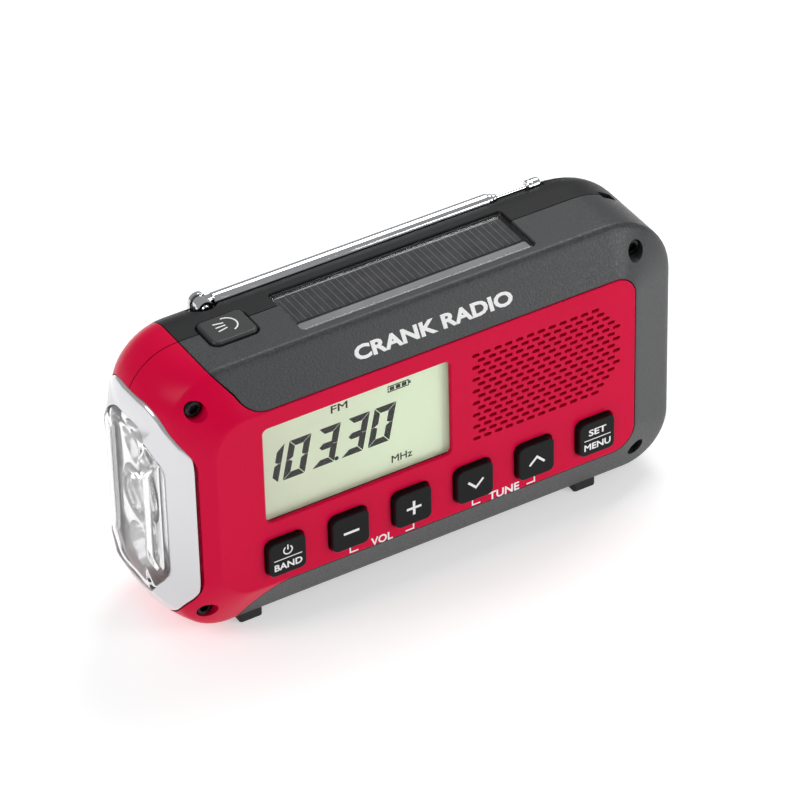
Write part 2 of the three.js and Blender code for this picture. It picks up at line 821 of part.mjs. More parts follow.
// ---------------------------------------------------------------- torch end
{
  add("torch_lens", torchLens(), clearPlastic);

  const rimX = -endX + lensWall + 2.7;
  const backX = rimX + reflectorDepth;
  const bowls = [
    [lensCentreZ, bowlRadius, 2.9],
    [lensCentreZ + bowlPitch, sideBowlRadius, 2.2],
    [lensCentreZ - bowlPitch, sideBowlRadius, 2.2],
  ];
  const halfHeight = bowlPitch + sideBowlRadius + 1;
  const body = prism(roundedRect(partingY, lensCentreZ, 2 * bowlRadius + 1.6, 2 * halfHeight, 6),
    "x", rimX, backX);
  const bowl = ([z, radius, hole]) => turned("x", [
    [0, rimX - 1], [radius * 1.04, rimX - 1], [radius, rimX], [radius * 0.87, rimX + 3.4],
    [radius * 0.66, rimX + 7], [hole, backX - 2], [hole, backX + 1], [0, backX + 1],
  ], partingY, z, 20);
  add("torch_reflector", cut(body, ...bowls.map(bowl)), chrome);

  const boardX = backX + 0.6;
  add("torch_led_board", block(boardX, boardX + boardThickness, partingY - 6.2, partingY + 6.2,
    lensCentreZ - halfHeight + 1, lensCentreZ + halfHeight - 1), whitePlastic);
  const ledNames = ["torch_led_main", "torch_led_upper", "torch_led_lower"];
  bowls.forEach(([z, , hole], i) => {
    const radius = hole - 0.5;
    const base = boardX - gap;
    add(ledNames[i], turned("x", [
      [0, base], [radius, base], [radius, base - 1.4], [radius * 0.7, base - 2.4], [0, base - 2.9],
    ], partingY, z, 16), clearPlastic);
  });

  const capTop = topZ + torchButtonProud;
  const flangeTop = topZ - wall - gap;
  const rect = (grow) => roundedRect(torchButtonX, torchButtonY,
    torchButtonLength + grow, torchButtonWidth + grow, 2);
  add("torch_button", join(
    prism(rect(0), "z", flangeTop - 1, capTop - 0.4, 3),
    prism(rect(-0.8), "z", flangeTop - 1, capTop, 3),
    prism(rect(2), "z", flangeTop - 1.2, flangeTop, 2),
  ), blackPlastic);
  const boardTop = flangeTop - 1.2 - torchTravel - 0.2 - 2.2;
  add("torch_switch", join(
    block(torchButtonX - 7, torchButtonX + 7, torchButtonY - 5.2, torchButtonY + 5.2, boardTop - 1.2, boardTop),
    block(torchButtonX - 3, torchButtonX + 3, torchButtonY - 3, torchButtonY + 3, boardTop - 0.1, boardTop + 1.6),
    bar("z", 1.6, boardTop, boardTop + 2.2, torchButtonX, torchButtonY, 12),
  ), circuitBoard);
}

// ---------------------------------------------------------------- display, keys and boards
const windowThickness = 1.2;
const windowFrontY = frontY + lcdLip + gap;
const lcdFrontY = windowFrontY + windowThickness + gap;
{
  const seat = 2 * (lcdRebate - gap);
  add("lcd_window", prism(
    roundedRect(lcdCentreX, lcdCentreZ, lcdWidth + seat, lcdHeight + seat, 1.4),
    "y", windowFrontY, windowFrontY + windowThickness, 2), clearPlastic);
  add("lcd_module", block(
    lcdLeft - lcdBorder, lcdLeft + lcdWidth + lcdBorder, lcdFrontY, lcdFrontY + lcdThickness,
    lcdBottom - lcdBorder, lcdBottom + lcdHeight + lcdBorder), displayGlass);

  buttonNames.forEach((name, i) => {
    const x = buttonXs[i];
    const rect = (grow) => roundedRect(x, buttonZ, buttonWidth + grow, buttonHeight + grow, buttonCorner);
    const flangeY = innerFront + 0.4;
    add("button_" + name, join(
      prism(rect(0), "y", frontY - buttonProud + 0.7, flangeY + 0.5, 2),
      prism(rect(-1.2), "y", frontY - buttonProud, flangeY + 0.5, 2),
      prism(rect(2), "y", flangeY, flangeY + buttonFlange, 1),
    ), blackPlastic);
  });

  const membraneY = innerFront + 0.4 + buttonFlange + keyTravel + 0.2;
  const lastX = buttonXs[buttonXs.length - 1];
  const keyStrip = (name, y0, thickness, look) => add(name, block(
    buttonFirstX - 8, lastX + 8, y0, y0 + thickness, buttonZ - 8, buttonZ + 8), look);
  keyStrip("keypad_membrane", membraneY, membraneThickness, rubber);
  keyStrip("key_board", membraneY + membraneThickness + gap, boardThickness, circuitBoard);
  add("main_board", block(lcdLeft - 1.5, lcdLeft + lcdWidth + 2.5, lcdFrontY + lcdThickness + 0.8, lcdFrontY + lcdThickness + 0.8 + boardThickness,
    lcdBottom - 1, topZ - wall - 11), circuitBoard);
}

// ---------------------------------------------------------------- speaker
{
  const flangeY = innerFront + gap;
  const r = speakerRadius;
  add("speaker_frame", turned("y", [
    [r, flangeY], [r, flangeY + 1.2], [r - 2.5, flangeY + 1.2], [10.4, flangeY + 6.2], [10.4, flangeY + 11.5],
    [8.9, flangeY + 12.5], [0, flangeY + 12.5], [0, flangeY + 5.2], [9, flangeY + 5.2],
    [r - 3.4, flangeY + 0.6], [r - 3.4, flangeY], [r, flangeY],
  ], speakerX, speakerZ, 28), steel);
  add("speaker_cone", turned("y", [
    [0, flangeY + 2.2], [4.5, flangeY + 2.2], [r - 4.2, flangeY + 0.3], [r - 4.2, flangeY - 0.1],
    [r - 6, flangeY + 0.1], [4.6, flangeY + 1.6], [2.4, flangeY + 1], [0, flangeY + 0.8],
  ], speakerX, speakerZ, 24), coneFabric);
}

// ---------------------------------------------------------------- solar panel
{
  const glassTop = topZ - solarSink;
  add("solar_window", prism(roundedRect(solarCentreX, solarCentreY, solarLength, solarWidth, 1),
    "z", glassTop - solarGlass, glassTop, 2), clearPlastic);
  const cellTop = glassTop - solarGlass - gap;
  const cellInset = 0.9;
  const cellThickness = 0.9;
  add("solar_cell", block(
    solarLeft + cellInset, solarLeft + solarLength - cellInset,
    solarFront + solarStrip, solarFront + solarWidth - cellInset,
    cellTop - cellThickness, cellTop), solarSilicon);
}

// ---------------------------------------------------------------- antenna
{
  const pivotRadius = 0.9;
  const earInner = 1.5;
  const earOuter = 2.7;
  const ear = (side) => {
    const from = antennaY + (side > 0 ? earInner : -earOuter);
    return join(
      bar("y", 2.4, from, from + earOuter - earInner, antennaPivotX, antennaZ, 20),
      block(antennaPivotX - 2.4, antennaPivotX + 2.4, from, from + earOuter - earInner, ledgeFloor + gap, antennaZ),
    );
  };
  add("antenna_base", join(
    bar("z", swivelRadius, ledgeFloor - 5, ledgeFloor + 0.4, antennaPivotX, antennaY, 24),
    ear(-1), ear(1),
    bar("y", pivotRadius, antennaY - earOuter, antennaY + earOuter, antennaPivotX, antennaZ, 12),
  ), chrome);

  const tubeStart = antennaPivotX + 3.2;
  const tubeEnd = tubeStart + tubeLength;
  const bladeHalf = earInner - gap / 2;
  const knuckle = join(
    bar("y", 1.9, antennaY - bladeHalf, antennaY + bladeHalf, antennaPivotX, antennaZ, 16),
    block(antennaPivotX, tubeStart + 1, antennaY - bladeHalf, antennaY + bladeHalf, antennaZ - 1.5, antennaZ + 1.5)
      .intersect(bar("x", 1.9, antennaPivotX, tubeStart + 1, antennaY, antennaZ, 16)),
  );
  const sleeve = (radius, from, to, floor) => turned("x", [
    [0, from], [radius, from], [radius, to], [radius - tubeWall, to], [radius - tubeWall, from + floor],
    [0, from + floor],
  ], antennaY, antennaZ, 16);
  add("antenna_tube_1", cut(join(sleeve(tubeRadius, tubeStart, tubeEnd, 3), knuckle),
    bar("y", pivotRadius + play, antennaY - 5, antennaY + 5, antennaPivotX, antennaZ, 12)), chrome);
  const radiusOf = (i) => tubeRadius - i * (tubeWall + tubePlay);
  const startOf = (i) => tubeStart + 3 + i * 1.6;
  const endOf = (i) => tubeEnd + i * tubeStep;
  add("antenna_tube_2", sleeve(radiusOf(1), startOf(1), endOf(1), 1.2), chrome);
  add("antenna_tube_3", sleeve(radiusOf(2), startOf(2), endOf(2), 1.2), chrome);
  const rodRadius = radiusOf(3) - 0.1;
  const rodEnd = endOf(2) + rodShows;
  add("antenna_rod", turned("x", [
    [0, startOf(3)], [rodRadius, startOf(3)], [rodRadius, rodEnd], [tipRadius * 0.75, rodEnd],
    [tipRadius, rodEnd + 0.6], [tipRadius, rodEnd + tipLength - 1.4],
    [tipRadius * 0.7, rodEnd + tipLength - 0.4], [0, rodEnd + tipLength],
  ], antennaY, antennaZ, 16), chrome);
}

// ---------------------------------------------------------------- crank
{
  const earInner = armWidth / 2 + gap;
  const earOuter = earInner + 3;
  const pinRadius = 1.2;
  const hubTop = armInnerY - gap;
  const ear = (side) => {
    const from = crankZ + (side > 0 ? earInner : -earOuter);
    const to = from + earOuter - earInner;
    return join(
      bar("z", armThickness / 2, from, to, crankX, armPlaneY, 20),
      block(crankX - armThickness / 2, crankX + armThickness / 2, hubTop - 1, armPlaneY, from, to),
    );
  };
  const pinHole = bar("z", pinRadius + play, crankZ - 20, crankZ + 20, crankX, armPlaneY, 16);
  add("crank_hub", cut(join(
    bar("y", hubRadius, dishFloorY + gap, hubTop, crankX, crankZ, 32),
    bar("y", crankShaftRadius, gearTopY - crankGearThickness, dishFloorY + 1, crankX, crankZ, 20),
    ear(-1), ear(1),
  ), pinHole), blackPlastic);
  add("crank_bush", turned("y", [
    [crankShaftRadius + play, dishFloorY - dishFloor], [bushRadius, dishFloorY - dishFloor],
    [bushRadius, dishFloorY], [crankShaftRadius + play, dishFloorY],
    [crankShaftRadius + play, dishFloorY - dishFloor],
  ], crankX, crankZ, 24), brass);
  add("crank_hinge_pin", bar("z", pinRadius, crankZ - earOuter, crankZ + earOuter, crankX, armPlaneY, 16), steel);

  const knobX = crankX + crankArm;
  const armOutline = new THREE.Shape();
  armOutline.moveTo(crankX, crankZ - armWidth / 2);
  armOutline.lineTo(knobX, crankZ - armWidth / 2);
  armOutline.absarc(knobX, crankZ, armWidth / 2, -Math.PI / 2, Math.PI / 2);
  armOutline.lineTo(crankX, crankZ + armWidth / 2);
  add("crank_arm", cut(
    join(
      prism(armOutline, "y", armInnerY, armInnerY + armThickness, 10),
      bar("z", armThickness / 2, crankZ - armWidth / 2, crankZ + armWidth / 2, crankX, armPlaneY, 20),
      bar("y", pinRadius, knobInnerY + 1.5, armPlaneY, knobX, crankZ, 16),
    ),
    pinHole,
  ), blackPlastic);
  add("crank_knob", cut(turned("y", [
    [0, knobInnerY], [knobRadius - 0.8, knobInnerY], [knobRadius, knobInnerY + 0.8],
    [knobRadius - 0.5, (knobInnerY + knobOuterY) / 2], [knobRadius, knobOuterY - 0.8],
    [knobRadius - 0.8, knobOuterY], [0, knobOuterY],
  ], knobX, crankZ, 24),
  bar("y", pinRadius + play, knobInnerY + 1.2, knobOuterY + 1, knobX, crankZ, 16)), blackPlastic);
}

// ---------------------------------------------------------------- gear train and generator
{
  const shaftHole = bar("y", crankShaftRadius + play, -far, far, crankX, crankZ, 20);
  add("crank_gear", cut(prism(gearShape(crankTeeth, crankModule, idlerDirection, crankX, crankZ),
    "y", gearTopY - crankGearThickness, gearTopY), shaftHole), nylon);

  const pinionPhase = idlerDirection + Math.PI + Math.PI / pinionTeeth;
  const axleHole = bar("y", axleRadius + play, -far, far, idlerX, idlerZ, 16);
  add("intermediate_gear", cut(join(
    prism(gearShape(pinionTeeth, crankModule, pinionPhase, idlerX, idlerZ), "y", wheelTopY - 0.2, gearTopY + 0.2),
    prism(gearShape(wheelTeeth, wheelModule, generatorDirection, idlerX, idlerZ),
      "y", wheelTopY - wheelThickness, wheelTopY),
  ), axleHole), nylon);

  const driveSide = generatorDirection + Math.PI + Math.PI / pinionTeeth;
  const motorShaft = 1;
  add("generator_pinion", join(
    prism(gearShape(pinionTeeth, wheelModule, driveSide, generatorX, generatorZ),
      "y", wheelTopY - wheelThickness - 0.2, wheelTopY + 0.1),
    bar("y", motorShaft, generatorTopY - 3, wheelTopY, generatorX, generatorZ, 12)), brass);
  add("generator", turned("y", [
    [0, generatorTopY - generatorLength], [generatorRadius, generatorTopY - generatorLength],
    [generatorRadius, generatorTopY - 0.8], [generatorRadius - 0.8, generatorTopY],
    [motorShaft + play, generatorTopY], [motorShaft + play, generatorTopY - 4], [0, generatorTopY - 4],
  ], generatorX, generatorZ, 28), steel);
  const plate = block(plateLeft, plateRight, plateTopY - plateThickness, plateTopY, plateLow, plateHigh);
  const axle = bar("y", axleRadius, plateTopY - 0.5, dishFloorY - dishFloor - gap, idlerX, idlerZ, 16);
  add("gear_plate", join(cut(plate,
    bar("y", motorShaft + 1.5, -far, far, generatorX, generatorZ, 16)), axle), steel);
}

// ---------------------------------------------------------------- battery
{
  const contactRoom = 1.7;
  const insideLeft = endX - wall - 2.9 - cellLength - 2 * contactRoom;
  const insideRight = insideLeft + cellLength + 2 * contactRoom;
  const trayWall = 1.2;
  const tray = block(insideLeft - trayWall, insideRight + trayWall, cellY - cellRadius - 1.7, cellY + 4,
    cellZ - cellRadius - 0.4 - trayWall, cellZ + cellRadius + 0.4 + trayWall);
  const pocket = block(insideLeft, insideRight, cellY - cellRadius - gap, far,
    cellZ - cellRadius - 0.4, cellZ + cellRadius + 0.4);
  add("battery_holder", cut(tray, pocket), blackPlastic);
  const cellLeft = insideLeft + contactRoom;
  add("battery_cell", turned("x", [
    [0, cellLeft], [cellRadius - 0.6, cellLeft], [cellRadius, cellLeft + 0.6],
    [cellRadius, cellLeft + cellLength - 2], [cellRadius - 0.6, cellLeft + cellLength - 1.4],
    [3, cellLeft + cellLength - 1.4], [3, cellLeft + cellLength], [0, cellLeft + cellLength],
  ], cellY, cellZ, 28), cellWrap);
  const contact = (name, x) => add(name, block(x, x + 0.5, cellY - 6, cellY + 6, cellZ - 5, cellZ + 5), brass);
  contact("battery_contact_negative", insideLeft + gap);
  contact("battery_contact_positive", insideRight - gap - 0.5);

  const leaf = new THREE.Shape();
  const r = doorThickness / 2;
  leaf.moveTo(doorAxisY + r, doorAxisZ);
  leaf.lineTo(doorAxisY + r, doorBottom + doorHeight);
  leaf.lineTo(doorAxisY - r, doorBottom + doorHeight);
  leaf.lineTo(doorAxisY - r, doorAxisZ);
  leaf.absarc(doorAxisY, doorAxisZ, r, Math.PI, 2 * Math.PI);
  add("battery_door", prism(leaf, "x", doorLeft, doorLeft + doorLength, 8), darkPlastic);
}

// ---------------------------------------------------------------- ports
{
  const boardX = endX - wall - 13;
  const mouthX = portRecessX - gap;
  add("port_board", block(boardX, boardX + boardThickness,
    portY - portWidth / 2, portY + portWidth / 2, portZ - portHeight / 2, portZ + portHeight / 2), circuitBoard);
  const socketBack = boardX + boardThickness + gap;
  const usbWall = 0.7;
  const { width, height, depth: cavity } = usbCavity;
  add("usb_socket", cut(
    block(socketBack, mouthX, portY - width / 2 - usbWall, portY + width / 2 + usbWall,
      usbZ - height / 2 - usbWall, usbZ + height / 2 + usbWall),
    block(mouthX - cavity, mouthX + 1, portY - width / 2, portY + width / 2, usbZ - height / 2, usbZ + height / 2),
  ), steel);
  add("charge_socket", cut(
    prism(roundedRect(portY - 4, chargeZ, 9.2, 3.6, 1.6), "x", socketBack + 4, mouthX, 3),
    prism(roundedRect(portY - 4, chargeZ, 8.2, 2.6, 1.2), "x", mouthX - 5, mouthX + 1, 3),
  ), steel);
  add("headphone_socket", cut(
    bar("x", 3.1, socketBack + 1, mouthX, portY + 5, chargeZ, 20),
    bar("x", 1.8, mouthX - 10, mouthX + 1, portY + 5, chargeZ, 16),
  ), blackPlastic);

  const t = wall - gap;
  const leaf = new THREE.Shape();
  const axisX = endX - t / 2;
  const axisY = portHingeY - t / 2;
  leaf.moveTo(axisX - t / 2, axisY);
  leaf.lineTo(axisX - t / 2, portY - portWidth / 2);
  leaf.lineTo(axisX + t / 2, portY - portWidth / 2);
  leaf.lineTo(axisX + t / 2, axisY);
  leaf.absarc(axisX, axisY, t / 2, 0, Math.PI);
  add("port_cover", prism(leaf, "z", portZ - portHeight / 2, portZ + portHeight / 2, 8), rubber);
}

export default radio;
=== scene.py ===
# %% [markdown]
# # An emergency crank radio
# The radio is a palm-size box with a torch in one end, a display and keys on the front, a solar
# panel and an antenna on top, and a crank in the back. A imported CAD model gives every size and
# every moving body. This lesson builds finer shapes and finishes around that fixed frame.
#
# First the frame is loaded. The finished looks must stay inside it.

# %% Load the frame
import math
from contextlib import contextmanager

import bmesh
import bpy
from mathutils import Matrix, Vector


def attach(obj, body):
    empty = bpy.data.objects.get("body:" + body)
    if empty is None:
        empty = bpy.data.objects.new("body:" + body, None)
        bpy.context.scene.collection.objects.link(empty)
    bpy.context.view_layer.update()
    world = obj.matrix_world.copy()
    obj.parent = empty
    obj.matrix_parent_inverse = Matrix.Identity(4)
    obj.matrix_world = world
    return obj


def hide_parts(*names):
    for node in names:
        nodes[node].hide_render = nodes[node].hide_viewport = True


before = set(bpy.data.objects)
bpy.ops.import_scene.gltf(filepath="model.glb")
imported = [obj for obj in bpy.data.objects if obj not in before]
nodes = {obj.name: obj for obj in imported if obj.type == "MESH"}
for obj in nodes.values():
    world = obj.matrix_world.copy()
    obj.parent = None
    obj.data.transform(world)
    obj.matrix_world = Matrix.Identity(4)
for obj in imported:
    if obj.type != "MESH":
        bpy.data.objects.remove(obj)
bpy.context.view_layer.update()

# %% [markdown]
# ## Tools for shapes
# Sizes are easiest to read in millimetres, and Blender works in metres, so one helper makes every
# mesh and does the conversion. Most pieces of a moulded product are a stack of outlines: a key is
# a rounded rectangle that gets smaller towards its top edge. Skinning a row of outlines gives
# real rounded edges with few faces, where a cube with a bevel would give the same edge everywhere.

# %% Mesh helpers
MM = 0.001


@contextmanager
def editing(mesh):
    """Opens a mesh for editing and writes it back."""
    bm = bmesh.new()
    bm.from_mesh(mesh)
    yield bm
    bm.to_mesh(mesh)
    bm.free()


def outward(piece):
    """Turns every face of a closed mesh to point outwards."""
    with editing(piece.data) as bm:
        bmesh.ops.recalc_face_normals(bm, faces=bm.faces)
    return piece


def new_object(name, data):
    """An object in the scene for a mesh, curve, light or camera."""
    made = bpy.data.objects.new(name, data)
    bpy.context.scene.collection.objects.link(made)
    return made


def mesh_of(name, points, faces):
    """A mesh object from points in millimetres."""
    mesh = bpy.data.meshes.new(name)
    mesh.from_pydata([Vector(p) * MM for p in points], [], faces)
    return new_object(name, mesh)


def solid_from(name, points, faces):
    return outward(mesh_of(name, points, faces))


def skin(name, rings):
    """A closed solid over a row of rings that have the same number of points."""
    n = len(rings[0])
    points = [p for ring in rings for p in ring]
    faces = []
    for r in range(len(rings) - 1):
        for i in range(n):
            a, b = r * n + i, r * n + (i + 1) % n
            faces.append((a, b, b + n, a + n))
    faces.append(tuple(range(n)))
    faces.append(tuple(range(len(points) - n, len(points))))
    return solid_from(name, points, faces)


def place(axis, u, v, along):
    """A point from two coordinates across an axis and one along it."""
    return {"x": (along, u, v), "y": (u, along, v), "z": (u, v, along)}[axis]


def arc(cu, cv, radius, start, end, steps):
    """Points on part of a circle, with the angles in degrees."""
    angles = [math.radians(start + (end - start) * i / steps) for i in range(steps + 1)]
    return [(cu + radius * math.cos(a), cv + radius * math.sin(a)) for a in angles]


def round_corners(left, right, low, high, radii, steps):
    """A rectangle from its edges, with a radius for each corner, from the low right one round."""
    br, tr, tl, bl = radii
    return (arc(right - br, low + br, br, -90, 0, steps) + arc(right - tr, high - tr, tr, 0, 90, steps)
            + arc(left + tl, high - tl, tl, 90, 180, steps)
            + arc(left + bl, low + bl, bl, 180, 270, steps))


def round_rect(cu, cv, width, height, radius, steps=8):
    """A rectangle with round corners, as a list of points."""
    r = max(min(radius, width / 2 - 0.01, height / 2 - 0.01), 0.02)
    return round_corners(cu - width / 2, cu + width / 2, cv - height / 2, cv + height / 2, [r] * 4, steps)


def rect_stack(name, axis, centre, size, radius, layers, steps=8):
    """A rounded rectangle stacked along an axis; a layer is (inset, place along the axis)."""
    rings = []
    for inset, along in layers:
        outline = round_rect(*centre, size[0] - 2 * inset, size[1] - 2 * inset, radius - inset, steps)
        rings.append([place(axis, u, v, along) for u, v in outline])
    return skin(name, rings)


def quarter_turn(steps):
    return [math.pi / 2 * i / steps for i in range(steps + 1)]


def rounded_edge(radius, top, direction, steps=4):
    """Layers that round the edge of a stack from its top face to its side."""
    return [(radius * (1 - math.sin(t)), top + direction * radius * (1 - math.cos(t)))
            for t in quarter_turn(steps)]


def turned(name, axis, profile, a, b, sides=48):
    """A turned piece: profile points are (radius, place along the axis), and it is closed."""
    points, rows, faces = [], [], []
    for radius, along in profile:
        start = len(points)
        if radius == 0:
            points.append(place(axis, a, b, along))
            rows.append([start] * sides)
            continue
        for i in range(sides):
            t = 2 * math.pi * i / sides
            points.append(place(axis, a + radius * math.cos(t), b + radius * math.sin(t), along))
        rows.append(list(range(start, start + sides)))
    for one, two in zip(rows, rows[1:]):
        for i in range(sides):
            j = (i + 1) % sides
            corners = list(dict.fromkeys((one[i], one[j], two[j], two[i])))
            if len(corners) > 2:
                faces.append(tuple(corners))
    return solid_from(name, points, faces)


def rod(name, axis, start, end, radius, a, b, sides=48, chamfer=0):
    """A straight rod or bore, with a chamfer at both ends if it has one."""
    side = [(radius, start), (radius, end)]
    if chamfer:
        side = [(radius - chamfer, start), (radius, start + chamfer), (radius, end - chamfer),
                (radius - chamfer, end)]
    return turned(name, axis, [(0, start), *side, (0, end)], a, b, sides)


def box_solid(name, x0, x1, y0, y1, z0, z1):
    """A plain block, used only as a cutting tool or as the start of a piece."""
    corners = [(x0, y0), (x1, y0), (x1, y1), (x0, y1)]
    return skin(name, [[(x, y, z) for x, y in corners] for z in (z0, z1)])


def outline_solid(name, axis, outline, start, end):
    """An outline pushed straight along an axis."""
    return skin(name, [[place(axis, u, v, along) for u, v in outline] for along in (start, end)])


print("shape helpers are ready")

# %% [markdown]
# ## Cutting and joining
# Openings in a moulded shell are cut with Boolean modifiers. The Manifold solver is used: it is
# fast and exact on closed meshes, and every helper above makes closed meshes. Each cut is applied
# at once, so the next cut works on a plain mesh, and the tool is deleted.

# %% Boolean helpers
def settle(piece):
    """Turns a piece with modifiers into a plain mesh."""
    bpy.context.view_layer.update()
    evaluated = piece.evaluated_get(bpy.context.evaluated_depsgraph_get())
    mesh = bpy.data.meshes.new_from_object(evaluated)
    piece.modifiers.clear()
    piece.data = mesh
    return piece


def combine(body, tools, operation):
    for tool in tools:
        step = body.modifiers.new("step", "BOOLEAN")
        step.solver, step.operation, step.object = "MANIFOLD", operation, tool
        settle(body)
        bpy.data.objects.remove(tool)
    return body


def cut(body, *tools):
    return combine(body, tools, "DIFFERENCE")


def fuse(body, *tools):
    return combine(body, tools, "UNION")


def common(body, *tools):
    return combine(body, tools, "INTERSECT")


def copy_of(piece, name="copy"):
    return new_object(name, piece.data.copy())


def shade(piece, angle):
    """Smooth shading that stays sharp over an angle in degrees, with flat faces kept flat."""
    with editing(piece.data) as bm:
        bmesh.ops.remove_doubles(bm, verts=bm.verts, dist=2e-6)
        for face in bm.faces:
            face.smooth = True
        for edge in bm.edges:
            edge.smooth = len(edge.link_faces) == 2 and edge.calc_face_angle(0) < math.radians(angle)
    weighted = piece.modifiers.new("weighted", "WEIGHTED_NORMAL")
    weighted.keep_sharp = True
    return settle(piece)


def joined(name, pieces):
    """One mesh object from several."""
    mesh = bpy.data.meshes.new(name)
    with editing(mesh) as bm:
        for piece in pieces:
            bm.from_mesh(piece.data)
            bpy.data.objects.remove(piece)
    return new_object(name, mesh)


def finish_piece(piece, look, body, slot, *replaced, angle=40):
    """Shades a piece, gives it its finish and body, and hides the CAD nodes it stands for. The slot argument
    is not used.
    """
    if angle:
        shade(piece, angle)
    piece.data.materials.clear()
    piece.data.materials.append(look)
    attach(piece, body)
    if replaced:
        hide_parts(*replaced)
    print(piece.name, "has", len(piece.data.polygons), "faces and rides on", body)
    return piece

# %% [markdown]
# ## Finishes
# The case is injection moulded in tools with a spark-eroded surface, which leaves a fine even
# grain. The grain, the slow colour drift of a moulding and faint handling marks are effects that
# many of the materials share, so each is a node group with its own inputs. A group gives colours,
# values and heights only. The shader stays in the material.

# %% Node helpers
FLOAT, COLOUR = "NodeSocketFloat", "NodeSocketColor"


def feed(tree, node, links):
    """Sets each input of a node to a value, or links it to another node's output."""
    for key, value in links.items():
        if isinstance(value, bpy.types.NodeSocket):
            tree.links.new(value, node.inputs[key])
        else:
            node.inputs[key].default_value = value
    return node


def add(tree, kind, links=None, **settings):
    """A new node with its settings and inputs."""
    made = tree.nodes.new(kind)
    for key, value in settings.items():
        setattr(made, key, value)
    return feed(tree, made, links or {})


def maths(tree, operation, *values):
    """One Math node's result."""
    return add(tree, "ShaderNodeMath", dict(enumerate(values)), operation=operation).outputs[0]


def spread(tree, value, start, end, low=0, high=1):
    """A value's range from start to end, spread over low to high."""
    return add(tree, "ShaderNodeMapRange", {"Value": value, "From Min": start, "From Max": end,
                                            "To Min": low, "To Max": high}).outputs[0]


def noise(tree, where, scale, detail, **more):
    links = {"Vector": where, "Scale": scale, "Detail": detail, **more}
    return add(tree, "ShaderNodeTexNoise", links).outputs["Fac"]


def own_place(tree):
    """The point on the piece, in its own space."""
    return add(tree, "ShaderNodeTexCoord").outputs["Object"]


def group(name, inputs, outputs):
    """An empty shader node group with named inputs and outputs."""
    made = bpy.data.node_groups.new(name, "ShaderNodeTree")
    for label, (kind, value) in inputs.items():
        made.interface.new_socket(label, in_out="INPUT", socket_type=kind).default_value = value
    for label, kind in outputs.items():
        made.interface.new_socket(label, in_out="OUTPUT", socket_type=kind)
    return made, made.nodes.new("NodeGroupInput").outputs, made.nodes.new("NodeGroupOutput")


# %% The moulded grain
grain, sizes, out = group("moulded_grain", {
    "Colour": (COLOUR, (0.5, 0.5, 0.5, 1)), "Grain Scale": (FLOAT, 2600), "Roughness": (FLOAT, 0.5),
    "Drift": (FLOAT, 0.06), "Speckle": (FLOAT, 0.1),
}, {"Colour": COLOUR, "Roughness": FLOAT, "Height": FLOAT})
where = own_place(grain)
pits = noise(grain, where, sizes["Grain Scale"], 3, Roughness=0.6)
drift = noise(grain, where, 28, 2)
speck_part = maths(grain, "MULTIPLY", spread(grain, pits, 0.3, 0.7, -1, 1), sizes["Speckle"])
drift_part = maths(grain, "MULTIPLY", spread(grain, drift, 0.3, 0.7, -1, 1), sizes["Drift"])
both = maths(grain, "ADD", speck_part, drift_part)
tint = add(grain, "ShaderNodeHueSaturation", {"Color": sizes["Colour"],
                                              "Value": maths(grain, "ADD", both, 1)})
feed(grain, out, {"Colour": tint.outputs["Color"], "Height": pits,
                  "Roughness": maths(grain, "MULTIPLY_ADD", both, 0.35, sizes["Roughness"])})
print("moulded_grain has", len(grain.nodes), "nodes")

# %% Handling marks for the glossy finishes
marks, sizes, out = group("handling_marks", {
    "Roughness": (FLOAT, 0.05), "Smudge": (FLOAT, 0.1), "Scratches": (FLOAT, 0.05),
}, {"Roughness": FLOAT, "Height": FLOAT})
where = own_place(marks)
smear = spread(marks, noise(marks, where, 90, 4, Distortion=0.6), 0.5, 0.75)
stretched = add(marks, "ShaderNodeMapping", {"Vector": where, "Scale": (300, 2500, 900)}).outputs["Vector"]
hair = spread(marks, noise(marks, stretched, 1, 1), 0.66, 0.74)
smudged = maths(marks, "MULTIPLY_ADD", smear, sizes["Smudge"], sizes["Roughness"])
feed(marks, out, {"Roughness": maths(marks, "MULTIPLY_ADD", hair, sizes["Scratches"], smudged),
                  "Height": hair})
print("handling_marks has", len(marks.nodes), "nodes")

# %% [markdown]
# A Bevel node gives each material the small rounded edge that every moulding has. The shell has
# hundreds of cut edges, so rounding them in the mesh would cost far more faces than it is worth.

# %% Material makers
def new_material(name):
    look = bpy.data.materials.new(name)
    look.use_nodes = True
    return look, look.node_tree, look.node_tree.nodes["Principled BSDF"]


def with_relief(tree, shader, made, strength, depth, **more):
    """Takes the roughness and the fine relief of a surface from a node group."""
    relief = add(tree, "ShaderNodeBump", {"Height": made.outputs["Height"], "Strength": strength,
                                          "Distance": depth, **more})
    feed(tree, shader, {"Roughness": made.outputs["Roughness"], "Normal": relief.outputs[0]})


def moulded(name, colour, roughness, scale, bump, specular=0.5, drift=0.05, speckle=0.08, edge=0.00025,
            **settings):
    """Grained plastic or rubber."""
    look, tree, shader = new_material(name)
    made = add(tree, "ShaderNodeGroup", node_tree=grain)
    feed(tree, made, {"Colour": (*colour, 1), "Grain Scale": scale, "Roughness": roughness,
                      "Drift": drift, "Speckle": speckle})
    bevel = add(tree, "ShaderNodeBevel", {"Radius": edge}, samples=4)
    with_relief(tree, shader, made, bump, 0.0001, Normal=bevel.outputs[0])
    feed(tree, shader, {"Base Color": made.outputs["Colour"], "Specular IOR Level": specular, **settings})
    return look


def polished(name, colour, roughness, smudge=0.08, scratches=0.05, metal=0, **settings):
    """Chrome, glass and other glossy finishes."""
    look, tree, shader = new_material(name)
    made = add(tree, "ShaderNodeGroup", node_tree=marks)
    feed(tree, made, {"Roughness": roughness, "Smudge": smudge, "Scratches": scratches})
    with_relief(tree, shader, made, 0.05, 0.00002)
    feed(tree, shader, {"Base Color": (*colour, 1), "Metallic": metal, **settings})
    return look


